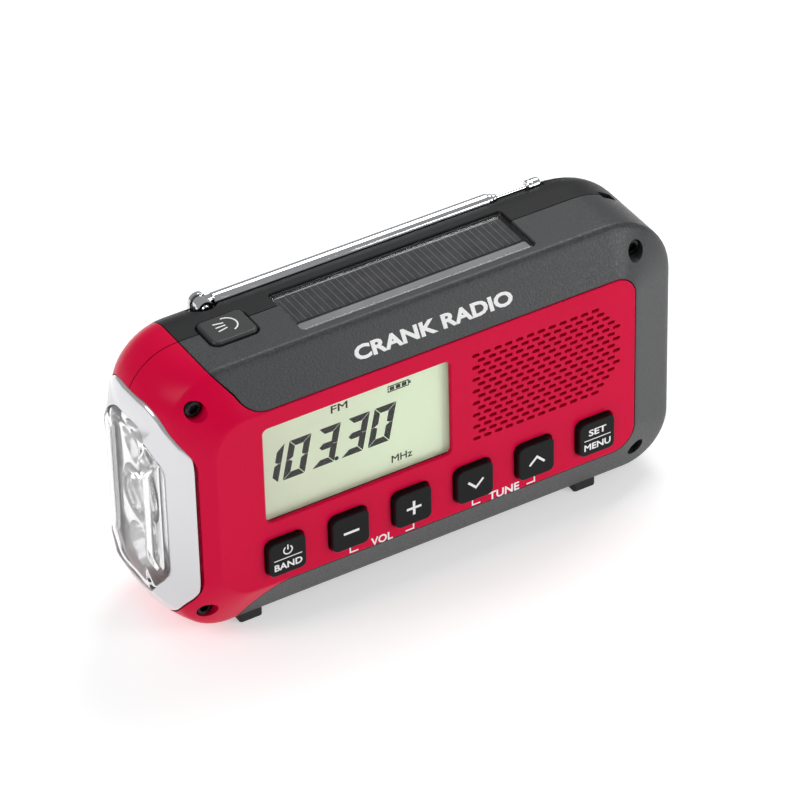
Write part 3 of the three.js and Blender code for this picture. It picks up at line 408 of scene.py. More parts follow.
# %% The radio's finishes
red = moulded("red_plastic", (0.63, 0.0003, 0.043), 0.3, 2400, 0.12, drift=0.03, speckle=0.03, specular=0.09)
charcoal = moulded("charcoal_plastic", (0.036, 0.0375, 0.040), 0.42, 1700, 0.75, speckle=0.35, specular=0.42)
dark = moulded("dark_plastic", (0.013, 0.0135, 0.0145), 0.44, 2100, 0.4, speckle=0.18, specular=0.22)
black = moulded("black_plastic", (0.006, 0.0065, 0.007), 0.32, 2600, 0.15, speckle=0.12, specular=0.13)
strip_grey = moulded("strip_grey", (0.3, 0.305, 0.315), 0.4, 2400, 0.2, speckle=0.1)
key_grey = moulded("key_grey", (0.024, 0.025, 0.027), 0.42, 2400, 0.3, speckle=0.12)
soft_rubber = moulded("soft_rubber", (0.014, 0.014, 0.014), 0.75, 1700, 0.5, drift=0.12)
print_white = moulded("print_white", (0.86, 0.86, 0.86), 0.55, 4000, 0.1, edge=0.00002)
lcd_ink = moulded("lcd_ink", (0.006, 0.0065, 0.005), 0.6, 4000, 0.05, edge=0.00002, specular=0.1)
white_board = moulded("white_board", (0.82, 0.82, 0.8), 0.45, 900, 0.1)
nylon = moulded("nylon", (0.74, 0.69, 0.58), 0.4, 1500, 0.2,
                **{"Subsurface Weight": 0.1, "Subsurface Radius": (0.001, 0.001, 0.001)})
cone_paper = moulded("cone_paper", (0.02, 0.02, 0.018), 0.85, 1200, 0.9, drift=0.2)
clear = polished("clear_polycarbonate", (1, 1, 1), 0.03, smudge=0.05, scratches=0.05,
                 **{"Transmission Weight": 1.0, "IOR": 1.5})
window_clear = polished("window_clear", (1, 1, 1), 0.0, smudge=0.02, scratches=0.02,
                        **{"Transmission Weight": 1.0, "IOR": 1.3})
led_clear = polished("led_clear", (1, 0.97, 0.82), 0.1, **{"Transmission Weight": 0.7})
chrome = polished("chrome", (0.66, 0.67, 0.69), 0.07, smudge=0.12, scratches=0.1, metal=1)
mirror_coat = polished("mirror_coat", (0.95, 0.95, 0.96), 0.16, smudge=0.05, metal=1)
silver_coat = polished("silver_coat", (0.66, 0.66, 0.68), 0.17, smudge=0.08, scratches=0.03, metal=0.75,
                       **{"Coat Weight": 1.0, "Coat Roughness": 0.05})
steel = polished("plated_steel", (0.56, 0.57, 0.59), 0.32, smudge=0.15, scratches=0.3, metal=1)
black_oxide = polished("black_oxide", (0.03, 0.03, 0.032), 0.3, smudge=0.2, metal=1)
brass = polished("brass", (0.55, 0.38, 0.12), 0.28, smudge=0.2, scratches=0.3, metal=1)
silver_ink = polished("silver_ink", (0.2, 0.205, 0.22), 0.4, metal=0.8)
solder_mask = polished("solder_mask", (0.02, 0.13, 0.04), 0.35, smudge=0.2)
sleeve_blue = polished("sleeve_blue", (0.05, 0.16, 0.45), 0.3, smudge=0.2)
print("made", len(bpy.data.materials), "materials")

# %% [markdown]
# The display's face is a pale reflective film behind glass with a faint green cast. Its colour is
# painted brighter towards the right, where the light falls, and it has a faint painted glow. The
# solar cell is dark silicon whose fine front contacts run across it. Both are drawn from Object
# coordinates, so the pattern stays on the piece in every view.

# %% Display film and silicon
def ramp_material(name, dark_end, bright_end, pattern, **settings):
    """A material whose colour runs between two ends, each a (place, colour), by a pattern."""
    look, tree, shader = new_material(name)
    ramp = add(tree, "ShaderNodeValToRGB", {"Fac": pattern(tree, own_place(tree))})
    for stop, (place_on_ramp, colour) in zip(ramp.color_ramp.elements, (dark_end, bright_end)):
        stop.position, stop.color = place_on_ramp, (*colour, 1)
    feed(tree, shader, {"Base Color": ramp.outputs["Color"], **settings})
    return look, tree, shader, ramp.outputs["Color"]


def film_tone_and_painted_light(tree, where):
    x = add(tree, "ShaderNodeSeparateXYZ", {"Vector": where}).outputs["X"]
    # Painted light: the colour is painted brighter towards the right, where the light falls; the noise adds a
    # random tone.
    across = spread(tree, x, -0.05, 0.006)
    return maths(tree, "MULTIPLY_ADD", noise(tree, where, 40, 2), 0.5, across)


def silicon_pattern(tree, where):
    crystals = add(tree, "ShaderNodeTexVoronoi", {"Vector": where, "Scale": 320}, feature="F1")
    return maths(tree, "MULTIPLY", crystals.outputs["Distance"], noise(tree, where, 1500, 2))


# The film is given a painted glow in its own colour, though it is no lamp.
lcd_face, tree, shader, painted_glow_colour = ramp_material(
    "lcd_film", (0.2, (0.72, 0.77, 0.58)), (1, (0.86, 1.0, 0.72)), film_tone_and_painted_light,
    **{"Roughness": 0.5, "Specular IOR Level": 0.2, "Emission Strength": 0.16})
feed(tree, shader, {"Emission Color": painted_glow_colour})
silicon = ramp_material("solar_silicon", (0, (0.012, 0.0125, 0.016)), (0.6, (0.045, 0.046, 0.052)),
                        silicon_pattern, **{"Roughness": 0.42, "Specular IOR Level": 0.25})[0]

# %% [markdown]
# ## The case
# The case is one curved form: a flat face, a slanting band round it, straight sides, a rounded
# back, and a torch end that is an arc in plan. Every depth from front to back has its own outline,
# so a row of outlines skinned into one solid gives the whole form, and the same rule moved inwards
# gives the hollow. The four mouldings are then parts of that one shell, which is why their
# surfaces run on into each other across the seams.

# %% Sizes of the case
LENGTH, DEPTH, FOOT, WALL, GAP = 155.0, 44.0, 2.8, 2.2, 0.3
PARTING = 1.4
FRONT, BACK, END = -DEPTH / 2, DEPTH / 2, LENGTH / 2
SHELL_LEFT, BOTTOM, TOP = -END + 1.2, FOOT, FOOT + 80.6
SLOPE_DEPTH, REAR_DEPTH, END_RADIUS = 7.5, 14.0, 32.0
REAR_START = BACK - REAR_DEPTH
SLOPE = {"top": 12.0, "right": 15.5, "bottom": 13.2, "left": 2.5}
REAR = {"top": 16.0, "right": 8.0, "bottom": 12.0, "left": 2.5}
SIDE_CORNERS = (14.0, 20.7, 15.5, 14.0)
FACE_CORNERS = (7.0, 6.0, 10.0, 10.0)
FAR = 200.0


def slope_share(y):
    """How far the front slope still stands in, from 1 at the face to 0, with a soft rear edge."""
    t, soft = (y - FRONT) / SLOPE_DEPTH, 0.16
    if t >= 1 + soft:
        return 0.0
    return min(1.0, 1 - t) if t < 1 - soft else (1 + soft - t) ** 2 / (4 * soft)


def rear_share(y):
    t = min(max((y - REAR_START) / REAR_DEPTH, 0), 1)
    return 1 - math.sqrt(1 - t * t)


def end_inset(y):
    return END_RADIUS - math.sqrt(END_RADIUS ** 2 - (y - PARTING) ** 2)


def case_sides(y, inset):
    """Left, right, low and high edges and the corner radii of the case's outline at one depth."""
    slope, rear = slope_share(y), rear_share(y)
    left = SHELL_LEFT + end_inset(y) + SLOPE["left"] * slope ** 2 + REAR["left"] * rear + inset
    right = END - SLOPE["right"] * slope - REAR["right"] * rear - inset
    low = BOTTOM + SLOPE["bottom"] * slope + REAR["bottom"] * rear + inset
    high = TOP - SLOPE["top"] * slope - REAR["top"] * rear - inset
    corners = [max(s + (f - s) * slope - inset, 1) for s, f in zip(SIDE_CORNERS, FACE_CORNERS)]
    return left, right, low, high, corners


def case_outline(y, inset, at):
    """The outline for the depth y, set down at another depth."""
    return [(x, at, z) for x, z in round_corners(*case_sides(y, inset), 14)]


def depth_stops(first, last, spacing):
    """Depths of the outlines: even, and closer on the slope's rear edge and round the back."""
    stops = {first, last}
    count = round((last - first) / spacing)
    stops |= {first + (last - first) * i / count for i in range(count + 1)}
    stops |= {FRONT + SLOPE_DEPTH * t / 100 for t in range(84, 120, 5)}
    stops |= {REAR_START + REAR_DEPTH * math.sin(math.radians(d)) for d in range(6, 91, 6)}
    kept = []
    for y in sorted(stops):
        if first <= y <= last and (not kept or y - kept[-1] > 0.08):
            kept.append(y)
    kept[-1] = last
    return kept


def crease(y):
    """The small rounding between the flat face and the slanting band."""
    reach = 0.5
    return 0.4 * max(0.0, 1 - (y - FRONT) / reach) ** 3


# %% Skin the shell
face_stops = [FRONT + d for d in (0, 0.05, 0.12, 0.24, 0.5)]
outer_stops = face_stops + [y for y in depth_stops(FRONT, BACK, 1.2) if y > FRONT + 0.7]
outer = skin("outer", [case_outline(y, crease(y), y) for y in outer_stops])
inner_rings = [case_outline(y + WALL * (-0.55 if y < PARTING else 0.45), WALL, y)
               for y in depth_stops(FRONT + WALL, BACK - WALL, 2.5)]
shell = cut(copy_of(outer, "shell"), skin("hollow", inner_rings))
print("the shell has", len(shell.data.polygons), "faces")

# %% [markdown]
# The seam between red and charcoal is one closed curve in front view. It leads under the torch
# end, round the panel, and up into a small tab at the top left. Growing the curve by the gap gives
# the charcoal side of the seam.

# %% The red region
def bezier(a, b, c, d, steps):
    found = []
    for i in range(1, steps + 1):
        t = i / steps
        weights = ((1 - t) ** 3, 3 * t * (1 - t) ** 2, 3 * t * t * (1 - t), t ** 3)
        found.append(tuple(sum(w * p[k] for w, p in zip(weights, (a, b, c, d))) for k in (0, 1)))
    return found


SEAM_TOP, SEAM_TAB, SEAM_BOTTOM, SEAM_CURVE = -60.4, -55.6, -57.0, -43.0


def red_outline(grow):
    top = TOP - SLOPE["top"] + grow
    right = END - SLOPE["right"] - 0.4 + grow
    low = BOTTOM + SLOPE["bottom"] - grow
    start = (SEAM_BOTTOM + grow, BOTTOM)
    outline = [(-FAR, TOP + FAR), (-FAR, BOTTOM - FAR), (start[0], BOTTOM - FAR), start]
    outline += bezier(start, (start[0] + 3, BOTTOM + SLOPE["bottom"] * 0.45), (SEAM_CURVE - 6, low),
                      (SEAM_CURVE, low), 16)
    br, tr = FACE_CORNERS[0] + grow, FACE_CORNERS[1] + grow
    outline += arc(right - br, low + br, br, -90, 0, 12)
    outline += arc(right - tr, top - tr, tr, 0, 90, 12)
    foot, bend, tip = (SEAM_TAB + 8.5, top), (SEAM_TAB + 2.5, top), (SEAM_TAB + grow, top + 5.5)
    third = [tuple(a + (b - a) * 2 / 3 for a, b in zip(end, bend)) for end in (foot, tip)]
    outline += [foot] + bezier(foot, third[0], third[1], tip, 12)
    return outline + [(SEAM_TOP + grow, TOP), (SEAM_TOP + grow, TOP + FAR)]


def end_outline(grow):
    return [(-FAR, -FAR), (SEAM_BOTTOM + grow, -FAR), (SEAM_BOTTOM + grow, BOTTOM),
            (SEAM_TOP + grow, TOP), (SEAM_TOP + grow, FAR), (-FAR, FAR)]


def space(start, end):
    """Everything between two depths."""
    return box_solid("space", -FAR, FAR, start, end, -FAR, FAR)


def split(half, outline):
    """The red part of a half of the shell, and the rest of it beyond the gap."""
    red_part = common(copy_of(half), outline_solid("region", "y", outline(0), -FAR, FAR))
    return red_part, cut(half, outline_solid("region", "y", outline(GAP), -FAR, FAR))


red_front, grey_front = split(common(copy_of(shell), space(-FAR, PARTING - GAP / 2)), red_outline)
red_rear, dark_rear = split(common(copy_of(shell), space(PARTING + GAP / 2, FAR)), end_outline)
print("four mouldings split at the seams")

# %% [markdown]
# ## Openings
# The display, the keys, the solar window and the battery door each need an opening with a small
# chamfer, as a mould tool gives. The chamfer is part of the cutter: its outline grows just in front
# of the surface.

# %% Opening cutters
LCD_X, LCD_Z, LCD_SIZE = -49.8 + 27.5, 36.2 + 14.85, (55.0, 29.7)
KEY_NAMES = ["power", "volume_down", "volume_up", "tune_down", "tune_up", "menu"]
KEY_X = [-45.1 + 18.8 * i for i in range(6)]
KEY_Z, KEY_SIZE, KEY_CORNER = 25.0, (10.9, 10.6), 1.8
SCREWS = {"top_left": (-65.8, 75.4), "bottom_left": (-65.8, 11.8),
          "top_right": (64.3, 75.4), "bottom_right": (64.3, 11.8)}
HEAD_Y, SEAT_Y = -16.0, -14.0


def mouth(axis, centre, size, gap, radius, surface, direction, reach, chamfer):
    """A cutter for a rounded opening; direction is +1 where the surface faces along the axis."""
    heights = [(0, -reach), (0, -chamfer), (-chamfer, 0), (-chamfer, 4)]
    return rect_stack("mouth", axis, centre, (size[0] + 2 * gap, size[1] + 2 * gap), radius,
                      [(inset, surface + direction * height) for inset, height in heights])


def screw_holes(side):
    """Stepped holes for the screws at one end: a wide one for the head and a narrow one below."""
    wide, narrow, step, bottom = 2.65, 1.55, SEAT_Y + 0.3, SEAT_Y + 25.2
    profile = [(0, FRONT - 5), (wide, FRONT - 5), (wide, step), (narrow, step), (narrow, bottom), (0, bottom)]
    return [turned("hole", "y", profile, x, z, 40) for x, z in SCREWS.values() if x * side > 0]


def screw_bosses(side, start, end):
    return [common(rod("boss", "y", start, end, 3.6, x, z, 40), copy_of(outer))
            for x, z in SCREWS.values() if x * side > 0]


# %% [markdown]
# The speaker grille is the clearest repeat on the radio: fifteen rows of short slots, staggered
# like brickwork, with the two right corners of the field cut off. Geometry Nodes place one slot
# cutter on a grid of points. The count, the pitch and the cut corner are named inputs.

# %% Geometry Nodes helper
def node_tree(name, inputs):
    """A geometry tree with a Geometry input and named inputs, given as name: kind."""
    tree = bpy.data.node_groups.new(name, "GeometryNodeTree")
    for label, kind in {"Geometry": "Geometry", **inputs}.items():
        tree.interface.new_socket(label, in_out="INPUT", socket_type="NodeSocket" + kind)
    tree.interface.new_socket("Geometry", in_out="OUTPUT", socket_type="NodeSocketGeometry")
    return tree, tree.nodes.new("NodeGroupInput").outputs, tree.nodes.new("NodeGroupOutput")


def run_tree(name, tree, values):
    """Puts the tree on an empty mesh with its inputs set, and turns the result into a plain mesh."""
    piece = new_object(name, bpy.data.meshes.new(name))
    step = piece.modifiers.new("repeat", "NODES")
    step.node_group = tree
    for item in tree.interface.items_tree:
        if item.in_out == "INPUT" and item.name in values:
            step[item.identifier] = values[item.name]
    return settle(piece)


def read_object(tree, target):
    return add(tree, "GeometryNodeObjectInfo", {"Object": target}).outputs["Geometry"]


def on_points(tree, points, shape, **more):
    """A copy of a shape on every point."""
    links = {"Points": points, "Instance": read_object(tree, shape), **more}
    return add(tree, "GeometryNodeInstanceOnPoints", links).outputs[0]


def moved_by(tree, geometry, offset):
    return add(tree, "GeometryNodeTransform", {"Geometry": geometry, "Translation": offset}).outputs[0]


def axes_of(tree, vector):
    return add(tree, "ShaderNodeSeparateXYZ", {"Vector": vector}).outputs


def vector_of(tree, x, y, z):
    return add(tree, "ShaderNodeCombineXYZ", {"X": x, "Y": y, "Z": z}).outputs[0]


def finish_tree(tree, out, instances, look):
    realized = add(tree, "GeometryNodeRealizeInstances", {"Geometry": instances})
    painted = add(tree, "GeometryNodeSetMaterial", {"Geometry": realized.outputs[0], "Material": look})
    feed(tree, out, {0: painted.outputs[0]})


# %% Grille slots
GRILLE = {"Columns": 14, "Rows": 15, "Pitch X": 3.3 * MM, "Pitch Z": 1.9 * MM, "Corner": 6.5 * MM}
GRILLE_CENTRE = Vector((34.4, 0, 51.3)) * MM
SLOT_SIZE, SLOT_CORNER = (2.35, 1.0), 0.48
slot_tool = rect_stack("slot_tool", "y", (0, 0), SLOT_SIZE, SLOT_CORNER,
                       [(0, FRONT - 1), (0, FRONT + WALL + 1)], steps=3)
tree, sizes, out = node_tree("grille_slots", {
    "Slot": "Object", "Material": "Material", "Columns": "Int", "Rows": "Int",
    "Pitch X": "Float", "Pitch Z": "Float", "Corner": "Float"})
wide = maths(tree, "MULTIPLY", maths(tree, "SUBTRACT", sizes["Columns"], 1), sizes["Pitch X"])
tall = maths(tree, "MULTIPLY", maths(tree, "SUBTRACT", sizes["Rows"], 1), sizes["Pitch Z"])
field = add(tree, "GeometryNodeMeshGrid", {"Size X": wide, "Size Y": tall, "Vertices X": sizes["Columns"],
                                           "Vertices Y": sizes["Rows"]})
row = maths(tree, "MODULO", add(tree, "GeometryNodeInputIndex").outputs[0], sizes["Rows"])
shift = maths(tree, "MULTIPLY", maths(tree, "MODULO", row, 2), maths(tree, "MULTIPLY", sizes["Pitch X"], 0.5))
here = axes_of(tree, add(tree, "GeometryNodeInputPosition").outputs[0])
upright = vector_of(tree, maths(tree, "ADD", here["X"], shift), 0, here["Y"])
raised = add(tree, "GeometryNodeSetPosition", {"Geometry": field.outputs["Mesh"], "Position": upright})
now = axes_of(tree, add(tree, "GeometryNodeInputPosition").outputs[0])
past_right = maths(tree, "SUBTRACT", now["X"], maths(tree, "MULTIPLY", wide, 0.5))
past_top = maths(tree, "SUBTRACT", maths(tree, "ABSOLUTE", now["Z"]), maths(tree, "MULTIPLY", tall, 0.5))
into_corner = maths(tree, "ADD", maths(tree, "ADD", past_right, past_top), sizes["Corner"])
gone = maths(tree, "MAXIMUM", maths(tree, "GREATER_THAN", into_corner, 0),
             maths(tree, "GREATER_THAN", past_right, 0.0001))
kept = add(tree, "GeometryNodeDeleteGeometry", {"Geometry": raised.outputs[0], "Selection": gone})
slots = moved_by(tree, on_points(tree, kept.outputs[0], sizes["Slot"]), GRILLE_CENTRE)
finish_tree(tree, out, slots, sizes["Material"])
slot_field = run_tree("slot_field", tree, {"Slot": slot_tool, "Material": red, **GRILLE})
bpy.data.objects.remove(slot_tool)
print("the grille has", len(slot_field.data.vertices) // 32, "slots")

# %% [markdown]
# ## The torch lens's outline
# The lens is an octagon in end view with well rounded corners. Its surface follows the arc of the
# torch end and swells to a flat raised face. A rule that gives the surface's place for every point
# of the outline is simpler than modelling it by hand, and the seat in the case uses the same
# outline grown by the gap.

# %% The lens outline
LENS_Y, LENS_Z, LENS_HALF, LENS_CUT, LENS_CORNER = 0.4, 40.9, (19.7, 33.4), (9.4, 12.2), 13.0


def rounded_polygon(corners, radius, steps=7):
    """A polygon with each corner replaced by an arc that touches both sides."""
    found = []
    for i, corner in enumerate(corners):
        here = Vector(corner)
        back, ahead = Vector(corners[i - 1]) - here, Vector(corners[(i + 1) % len(corners)]) - here
        back.normalize()
        ahead.normalize()
        half = back.angle(ahead) / 2
        reach = radius / math.tan(half)
        a, c = here + back * reach, here + ahead * reach
        for k in range(steps + 1):
            t = k / steps
            found.append(tuple((1 - t) ** 2 * a + 2 * t * (1 - t) * here + t * t * c))
    return found


def lens_outline(grow):
    (w, h), (cw, ch) = (v + grow for v in LENS_HALF), (v + 0.4 * grow for v in LENS_CUT)
    corners = [(-w, -h + ch), (-w + cw, -h), (w - cw, -h), (w, -h + ch),
               (w, h - ch), (w - cw, h), (-w + cw, h), (-w, h - ch)]
    return rounded_polygon([(LENS_Y + y, LENS_Z + z) for y, z in corners], LENS_CORNER + grow)


def lens_seat():
    return outline_solid("lens_seat", "x", lens_outline(0.25), -FAR, SHELL_LEFT + 9)


# %% [markdown]
# ## The front mouldings
# Each moulding is its part of the shell, joined to its screw bosses and then cut by its openings.
# The red panel carries the display window, six key openings and the grille.

# %% Front panel
def moulding(piece, look, slot, node):
    piece.name = node + "_shell"
    finish_piece(piece, look, "case", slot, node, angle=32)


front_panel = cut(red_front, lens_seat())
fuse(front_panel, *screw_bosses(-1, FRONT, PARTING - GAP / 2))
key_mouths = [mouth("y", (x, KEY_Z), KEY_SIZE, 0.25, KEY_CORNER + 0.25, FRONT, -1, 4, 0.3) for x in KEY_X]
window_mouth = mouth("y", (LCD_X, LCD_Z), LCD_SIZE, 0, 1.6, FRONT, -1, 6, 0.35)
window_rebate = rect_stack("rebate", "y", (LCD_X, LCD_Z), (58.2, 32.9), 1.6, [(0, FRONT + 1), (0, FRONT + 4)])
cut(front_panel, window_mouth, window_rebate, *key_mouths, *screw_holes(-1), slot_field)
moulding(front_panel, red, "red_plastic", "front_panel")

# %% [markdown]
# The charcoal front moulding runs over the top, the right end and the bottom. The solar window,
# the torch key and the socket cover all straddle the parting plane, so the same cutters are used
# on the front and the rear moulding.

# %% Cutters that both halves share
SOLAR_CENTRE, SOLAR_SIZE = (3.5, -2.0), (69.0, 17.6)
TORCH_KEY, TORCH_KEY_SIZE = (-47.0, -0.3), (13.2, 10.6)
PORT_Y, PORT_Z, PORT_SIZE = 1.0, 51.0, (18.0, 22.0)
FEET = [(x, y) for x in (-51.3, 51.3) for y in (-14.1, 1.4)]


def shared_openings():
    solar = mouth("z", SOLAR_CENTRE, SOLAR_SIZE, GAP, 1.3, TOP, 1, 4, 0.25)
    key = mouth("z", TORCH_KEY, TORCH_KEY_SIZE, 0.4, 2.4, TOP, 1, 4, 0.3)
    port = rect_stack("port_mouth", "x", (PORT_Y, PORT_Z), (PORT_SIZE[0] + 0.6, PORT_SIZE[1] + 0.6), 0.3,
                      [(0, END - 6), (0, END + 4)], steps=2)
    feet = [rect_stack("foot_pocket", "z", (x, y + 3.3), (7.4, 7.2), 0.8,
                       [(0, BOTTOM - 2), (0, BOTTOM + 0.6)]) for x, y in FEET]
    slots = []
    for degrees in (58, 32):
        turn = math.radians(degrees)
        slot = rect_stack("lanyard", "x", (0, 0), (3.4, 4.8), 0.6, [(0, -4.2), (0, 4.2)])
        centre = Vector((END - 20.7 + 18.5 * math.cos(turn), PARTING, TOP - 20.7 + 18.5 * math.sin(turn)))
        slot.data.transform(Matrix.Translation(centre * MM) @ Matrix.Rotation(-turn, 4, "Y"))
        slots.append(slot)
    return [solar, key, port, *feet, *slots]


# %% Front housing
front_housing = fuse(grey_front, *screw_bosses(1, FRONT, PARTING - GAP / 2))
cut(front_housing, *screw_holes(1), *shared_openings())
moulding(front_housing, charcoal, "grey_plastic", "front_housing")

# %% [markdown]
# ## The rear mouldings
# The red end cap closes the torch end. The dark rear housing has the antenna's ledge, the round
# dish for the crank and the battery opening.

# %% Rear end cap
end_cap = cut(red_rear, lens_seat())
fuse(end_cap, *screw_bosses(-1, PARTING + GAP / 2, BACK))
cut(end_cap, *screw_holes(-1))
moulding(end_cap, red, "red_plastic", "rear_end_cap")

# %% Rear housing
ANTENNA_Y, ANTENNA_Z, PIVOT_X, LEDGE, LEDGE_END = 13.6, 82.5, -47.0, 80.1, 55.7
CRANK_X, CRANK_Z, CRANK_ARM = -27.5, 42.0, 19.5
ARM_PLANE, ARM_INNER, KNOB_OUTER = 21.9, 19.9, 19.6
KNOB_INNER = KNOB_OUTER - 8.7
DISH_FLOOR = KNOB_INNER - 1
DISH_RADIUS = math.hypot(CRANK_ARM + 4.5, ARM_PLANE - KNOB_INNER) + 0.9
DOOR_X, DOOR_Z, DOOR_SIZE = 37.0, 27.5, (60.0, 19.0)


def ledge_cutters():
    """The antenna's ledge, its round end under the swivel, and a relief that runs out past the tip."""
    return [box_solid("ledge", PIVOT_X - 2, LEDGE_END + 1, ANTENNA_Y - 2.4, FAR, LEDGE, FAR),
            rod("ledge_end", "z", LEDGE, TOP + 5, 4.4, PIVOT_X, ANTENNA_Y),
            box_solid("relief", LEDGE_END, FAR, ANTENNA_Y - 2, ANTENNA_Y + 2, ANTENNA_Z - 2, FAR)]


def dish_cutter():
    """The crank's dish: straight walls, a rounded floor edge and a chamfered rim."""
    r = DISH_RADIUS
    floor = [(r - 1.6 + 1.6 * math.sin(t), DISH_FLOOR + 1.6 - 1.6 * math.cos(t)) for t in quarter_turn(6)]
    rim = [(r, BACK - 0.6), (r + 0.6, BACK), (r + 0.6, BACK + 20)]
    return turned("dish", "y", [(0, DISH_FLOOR), *floor, *rim, (0, BACK + 20)], CRANK_X, CRANK_Z, 96)


rib = common(box_solid("rib", PIVOT_X - 7, 59.7, ANTENNA_Y - 6, ANTENNA_Y + 7, LEDGE - 3.4, TOP + 1),
             copy_of(outer))
wall_of_dish = common(rod("dish_wall", "y", DISH_FLOOR - 2, BACK, DISH_RADIUS + WALL, CRANK_X, CRANK_Z, 96),
                      copy_of(outer))
door_mouth = mouth("y", (DOOR_X, DOOR_Z), DOOR_SIZE, GAP, 0.4, BACK, 1, 6, 0.25)
swivel_bore = rod("swivel_bore", "z", 70, TOP, 3.55, PIVOT_X, ANTENNA_Y)
bush_bore = rod("bush_bore", "y", 4, DISH_FLOOR + 1, 5.75, CRANK_X, CRANK_Z)
rear_housing = fuse(dark_rear, rib, wall_of_dish, *screw_bosses(1, PARTING + GAP / 2, BACK))
cut(rear_housing, *screw_holes(1), *shared_openings(), *ledge_cutters(), swivel_bore, dish_cutter(),
    bush_bore, door_mouth)
moulding(rear_housing, dark, "dark_plastic", "rear_housing")
for spare in (outer, shell):
    bpy.data.objects.remove(spare)

# %% [markdown]
# ## Screws and feet
# Four black machine screws hold the halves together. One screw head is modelled with its hexagon
# socket, and Geometry Nodes place it at the four points, so all four change together. They ride
# on the same body, so they stay one mesh. The four feet are made in the same way.

# %% One tree for copies at points
def copies_at(name, shape, points, look):
    """Copies of a shape at points in millimetres, as one plain mesh."""
    holder = mesh_of("points", points, [])
    tree, sizes, out = node_tree(name, {"Points": "Object", "Shape": "Object", "Material": "Material"})
    placed = on_points(tree, read_object(tree, sizes["Points"]), sizes["Shape"])
    finish_tree(tree, out, placed, sizes["Material"])
    piece = run_tree(name, tree, {"Points": holder, "Shape": shape, "Material": look})
    bpy.data.objects.remove(holder)
    bpy.data.objects.remove(shape)
    return piece


# %% Case screws
shank_end = SEAT_Y + 24
HEAD, SHANK = 2.45, 1.25
screw = turned("screw", "y", [
    (0, HEAD_Y), (HEAD - 0.3, HEAD_Y), (HEAD - 0.05, HEAD_Y + 0.25), (HEAD, HEAD_Y + 0.6), (HEAD, SEAT_Y),
    (SHANK, SEAT_Y), (SHANK, shank_end - 0.6), (SHANK - 0.45, shank_end), (0, shank_end)], 0, 0, 32)
socket = turned("socket", "y", [(0, HEAD_Y - 1), (1.6, HEAD_Y - 1), (1.55, HEAD_Y), (1.4, HEAD_Y + 0.2),
                                (1.4, HEAD_Y + 1.3), (0, HEAD_Y + 1.6)], 0, 0, 6)
cut(screw, socket)
screws = copies_at("case_screws", screw, [(x, 0, z) for x, z in SCREWS.values()], black_oxide)
finish_piece(screws, black_oxide, "case", "black_steel", *["screw_" + s for s in SCREWS], angle=30)

# %% Feet
foot = rect_stack("foot", "z", (0, 3.3), (6.8, 6.6), 0.9,
                  rounded_edge(0.5, 0, 1) + [(0, BOTTOM + 0.3)])
feet = copies_at("case_feet", foot, [(x, y, 0) for x, y in FEET], soft_rubber)
finish_piece(feet, soft_rubber, "case", "rubber",
             "foot_front_left", "foot_front_right", "foot_rear_left", "foot_rear_right", angle=50)

# %% [markdown]
# ## The torch
# The lens is one clear moulding. Its skin follows the arc of the torch end 0.3 mm proud, and swells
# to a flat face with bevels all round. A rule gives the surface at every point, so the lens is
# skinned over shrinking copies of its outline. A rounded rim catches the light as a bright line.

# %% The lens's skin
LENS_TOP, FACE_CENTRE, FACE_HALF, BEVEL_RISE = -END, (PARTING, LENS_Z), (11.0, 24.0), 4.2 / 3.6
LENS_BACK, BORDER = -68.3, 6.0


def soft_min(a, b, blend):
    h = max(blend - abs(a - b), 0) / blend
    return min(a, b) - h * h * blend / 4


def torch_end(y, z):
    """The case's own surface on the torch end at a point."""
    left, _, low, high, (_, _, tl, bl) = case_sides(max(y, FRONT + 0.6), 0)
    radius, past = (tl, z - high + tl) if z > (low + high) / 2 else (bl, low + bl - z)
    past = min(max(past, 0), radius)
    return left + radius - math.sqrt(radius ** 2 - past ** 2)


def lens_skin(y, z):
    across = (abs(y - FACE_CENTRE[0]) - FACE_HALF[0]) * BEVEL_RISE
    up = (abs(z - FACE_CENTRE[1]) - FACE_HALF[1]) * BEVEL_RISE
    side = -soft_min(-across, -up, 5.0)
    raised = LENS_TOP - soft_min(0, -side, 2.5)
    return soft_min(torch_end(y, z) - 0.3, raised, 3.0)


def lens_ring(inset, drop):
    """One outline of the lens's skin, drop behind the surface."""
    shrink = min(inset, 4.5)
    scale = 1 - (inset - shrink) / 19
    outline = [(LENS_Y + (y - LENS_Y) * scale, LENS_Z + (z - LENS_Z) * scale)
               for y, z in lens_outline(-shrink)]
    return [(max(min(lens_skin(y, z) + drop, LENS_BACK - 0.1), LENS_TOP), y, z) for y, z in outline]


# %% Lens
def lens_rings(insets, drop=0):
    return [lens_ring(inset, drop) for inset in insets]


LENS_WALL = 1.9
insets = [BORDER + step for step in (0, 0.4, 0.8, 1.3, 1.8, 2.4, 3.0, 3.7, 4.5, 5.4, 6.5, 7.8, 9.4, 11, 12.4)]
lens = skin("torch_lens_clear", [*lens_rings(insets[::-1], LENS_WALL), *lens_rings(insets)])
finish_piece(lens, clear, "case", "clear_plastic", "torch_lens", angle=60)

# %% [markdown]
# The lens's border is coated silver on its back, which hides the seat and reads as a bright satin
# band. It is made as its own ring, so it can have its own finish. Its rim is rounded.

# %% Lens border
def back_ring(grow):
    return [(LENS_BACK, y, z) for y, z in lens_outline(grow)]


seam = BORDER - 0.02
rim = [lens_ring(inset, drop) for inset, drop in reversed(rounded_edge(0.8, 0, 1, 6))]
border = [back_ring(0), *rim, *lens_rings([1.3, 1.9, 2.5, 3.1, 3.7, 4.3, 4.9, 5.5, seam]),
          *lens_rings([seam, 4.4], LENS_WALL), back_ring(-2)]


def ring_skin(name, rings):
    """A closed ring: the last outline joins the first."""
    n, count = len(rings[0]), len(rings)
    points = [p for one in rings for p in one]
    faces = [(r * n + i, r * n + (i + 1) % n, (r + 1) % count * n + (i + 1) % n, (r + 1) % count * n + i)
             for r in range(count) for i in range(n)]
    return solid_from(name, points, faces)


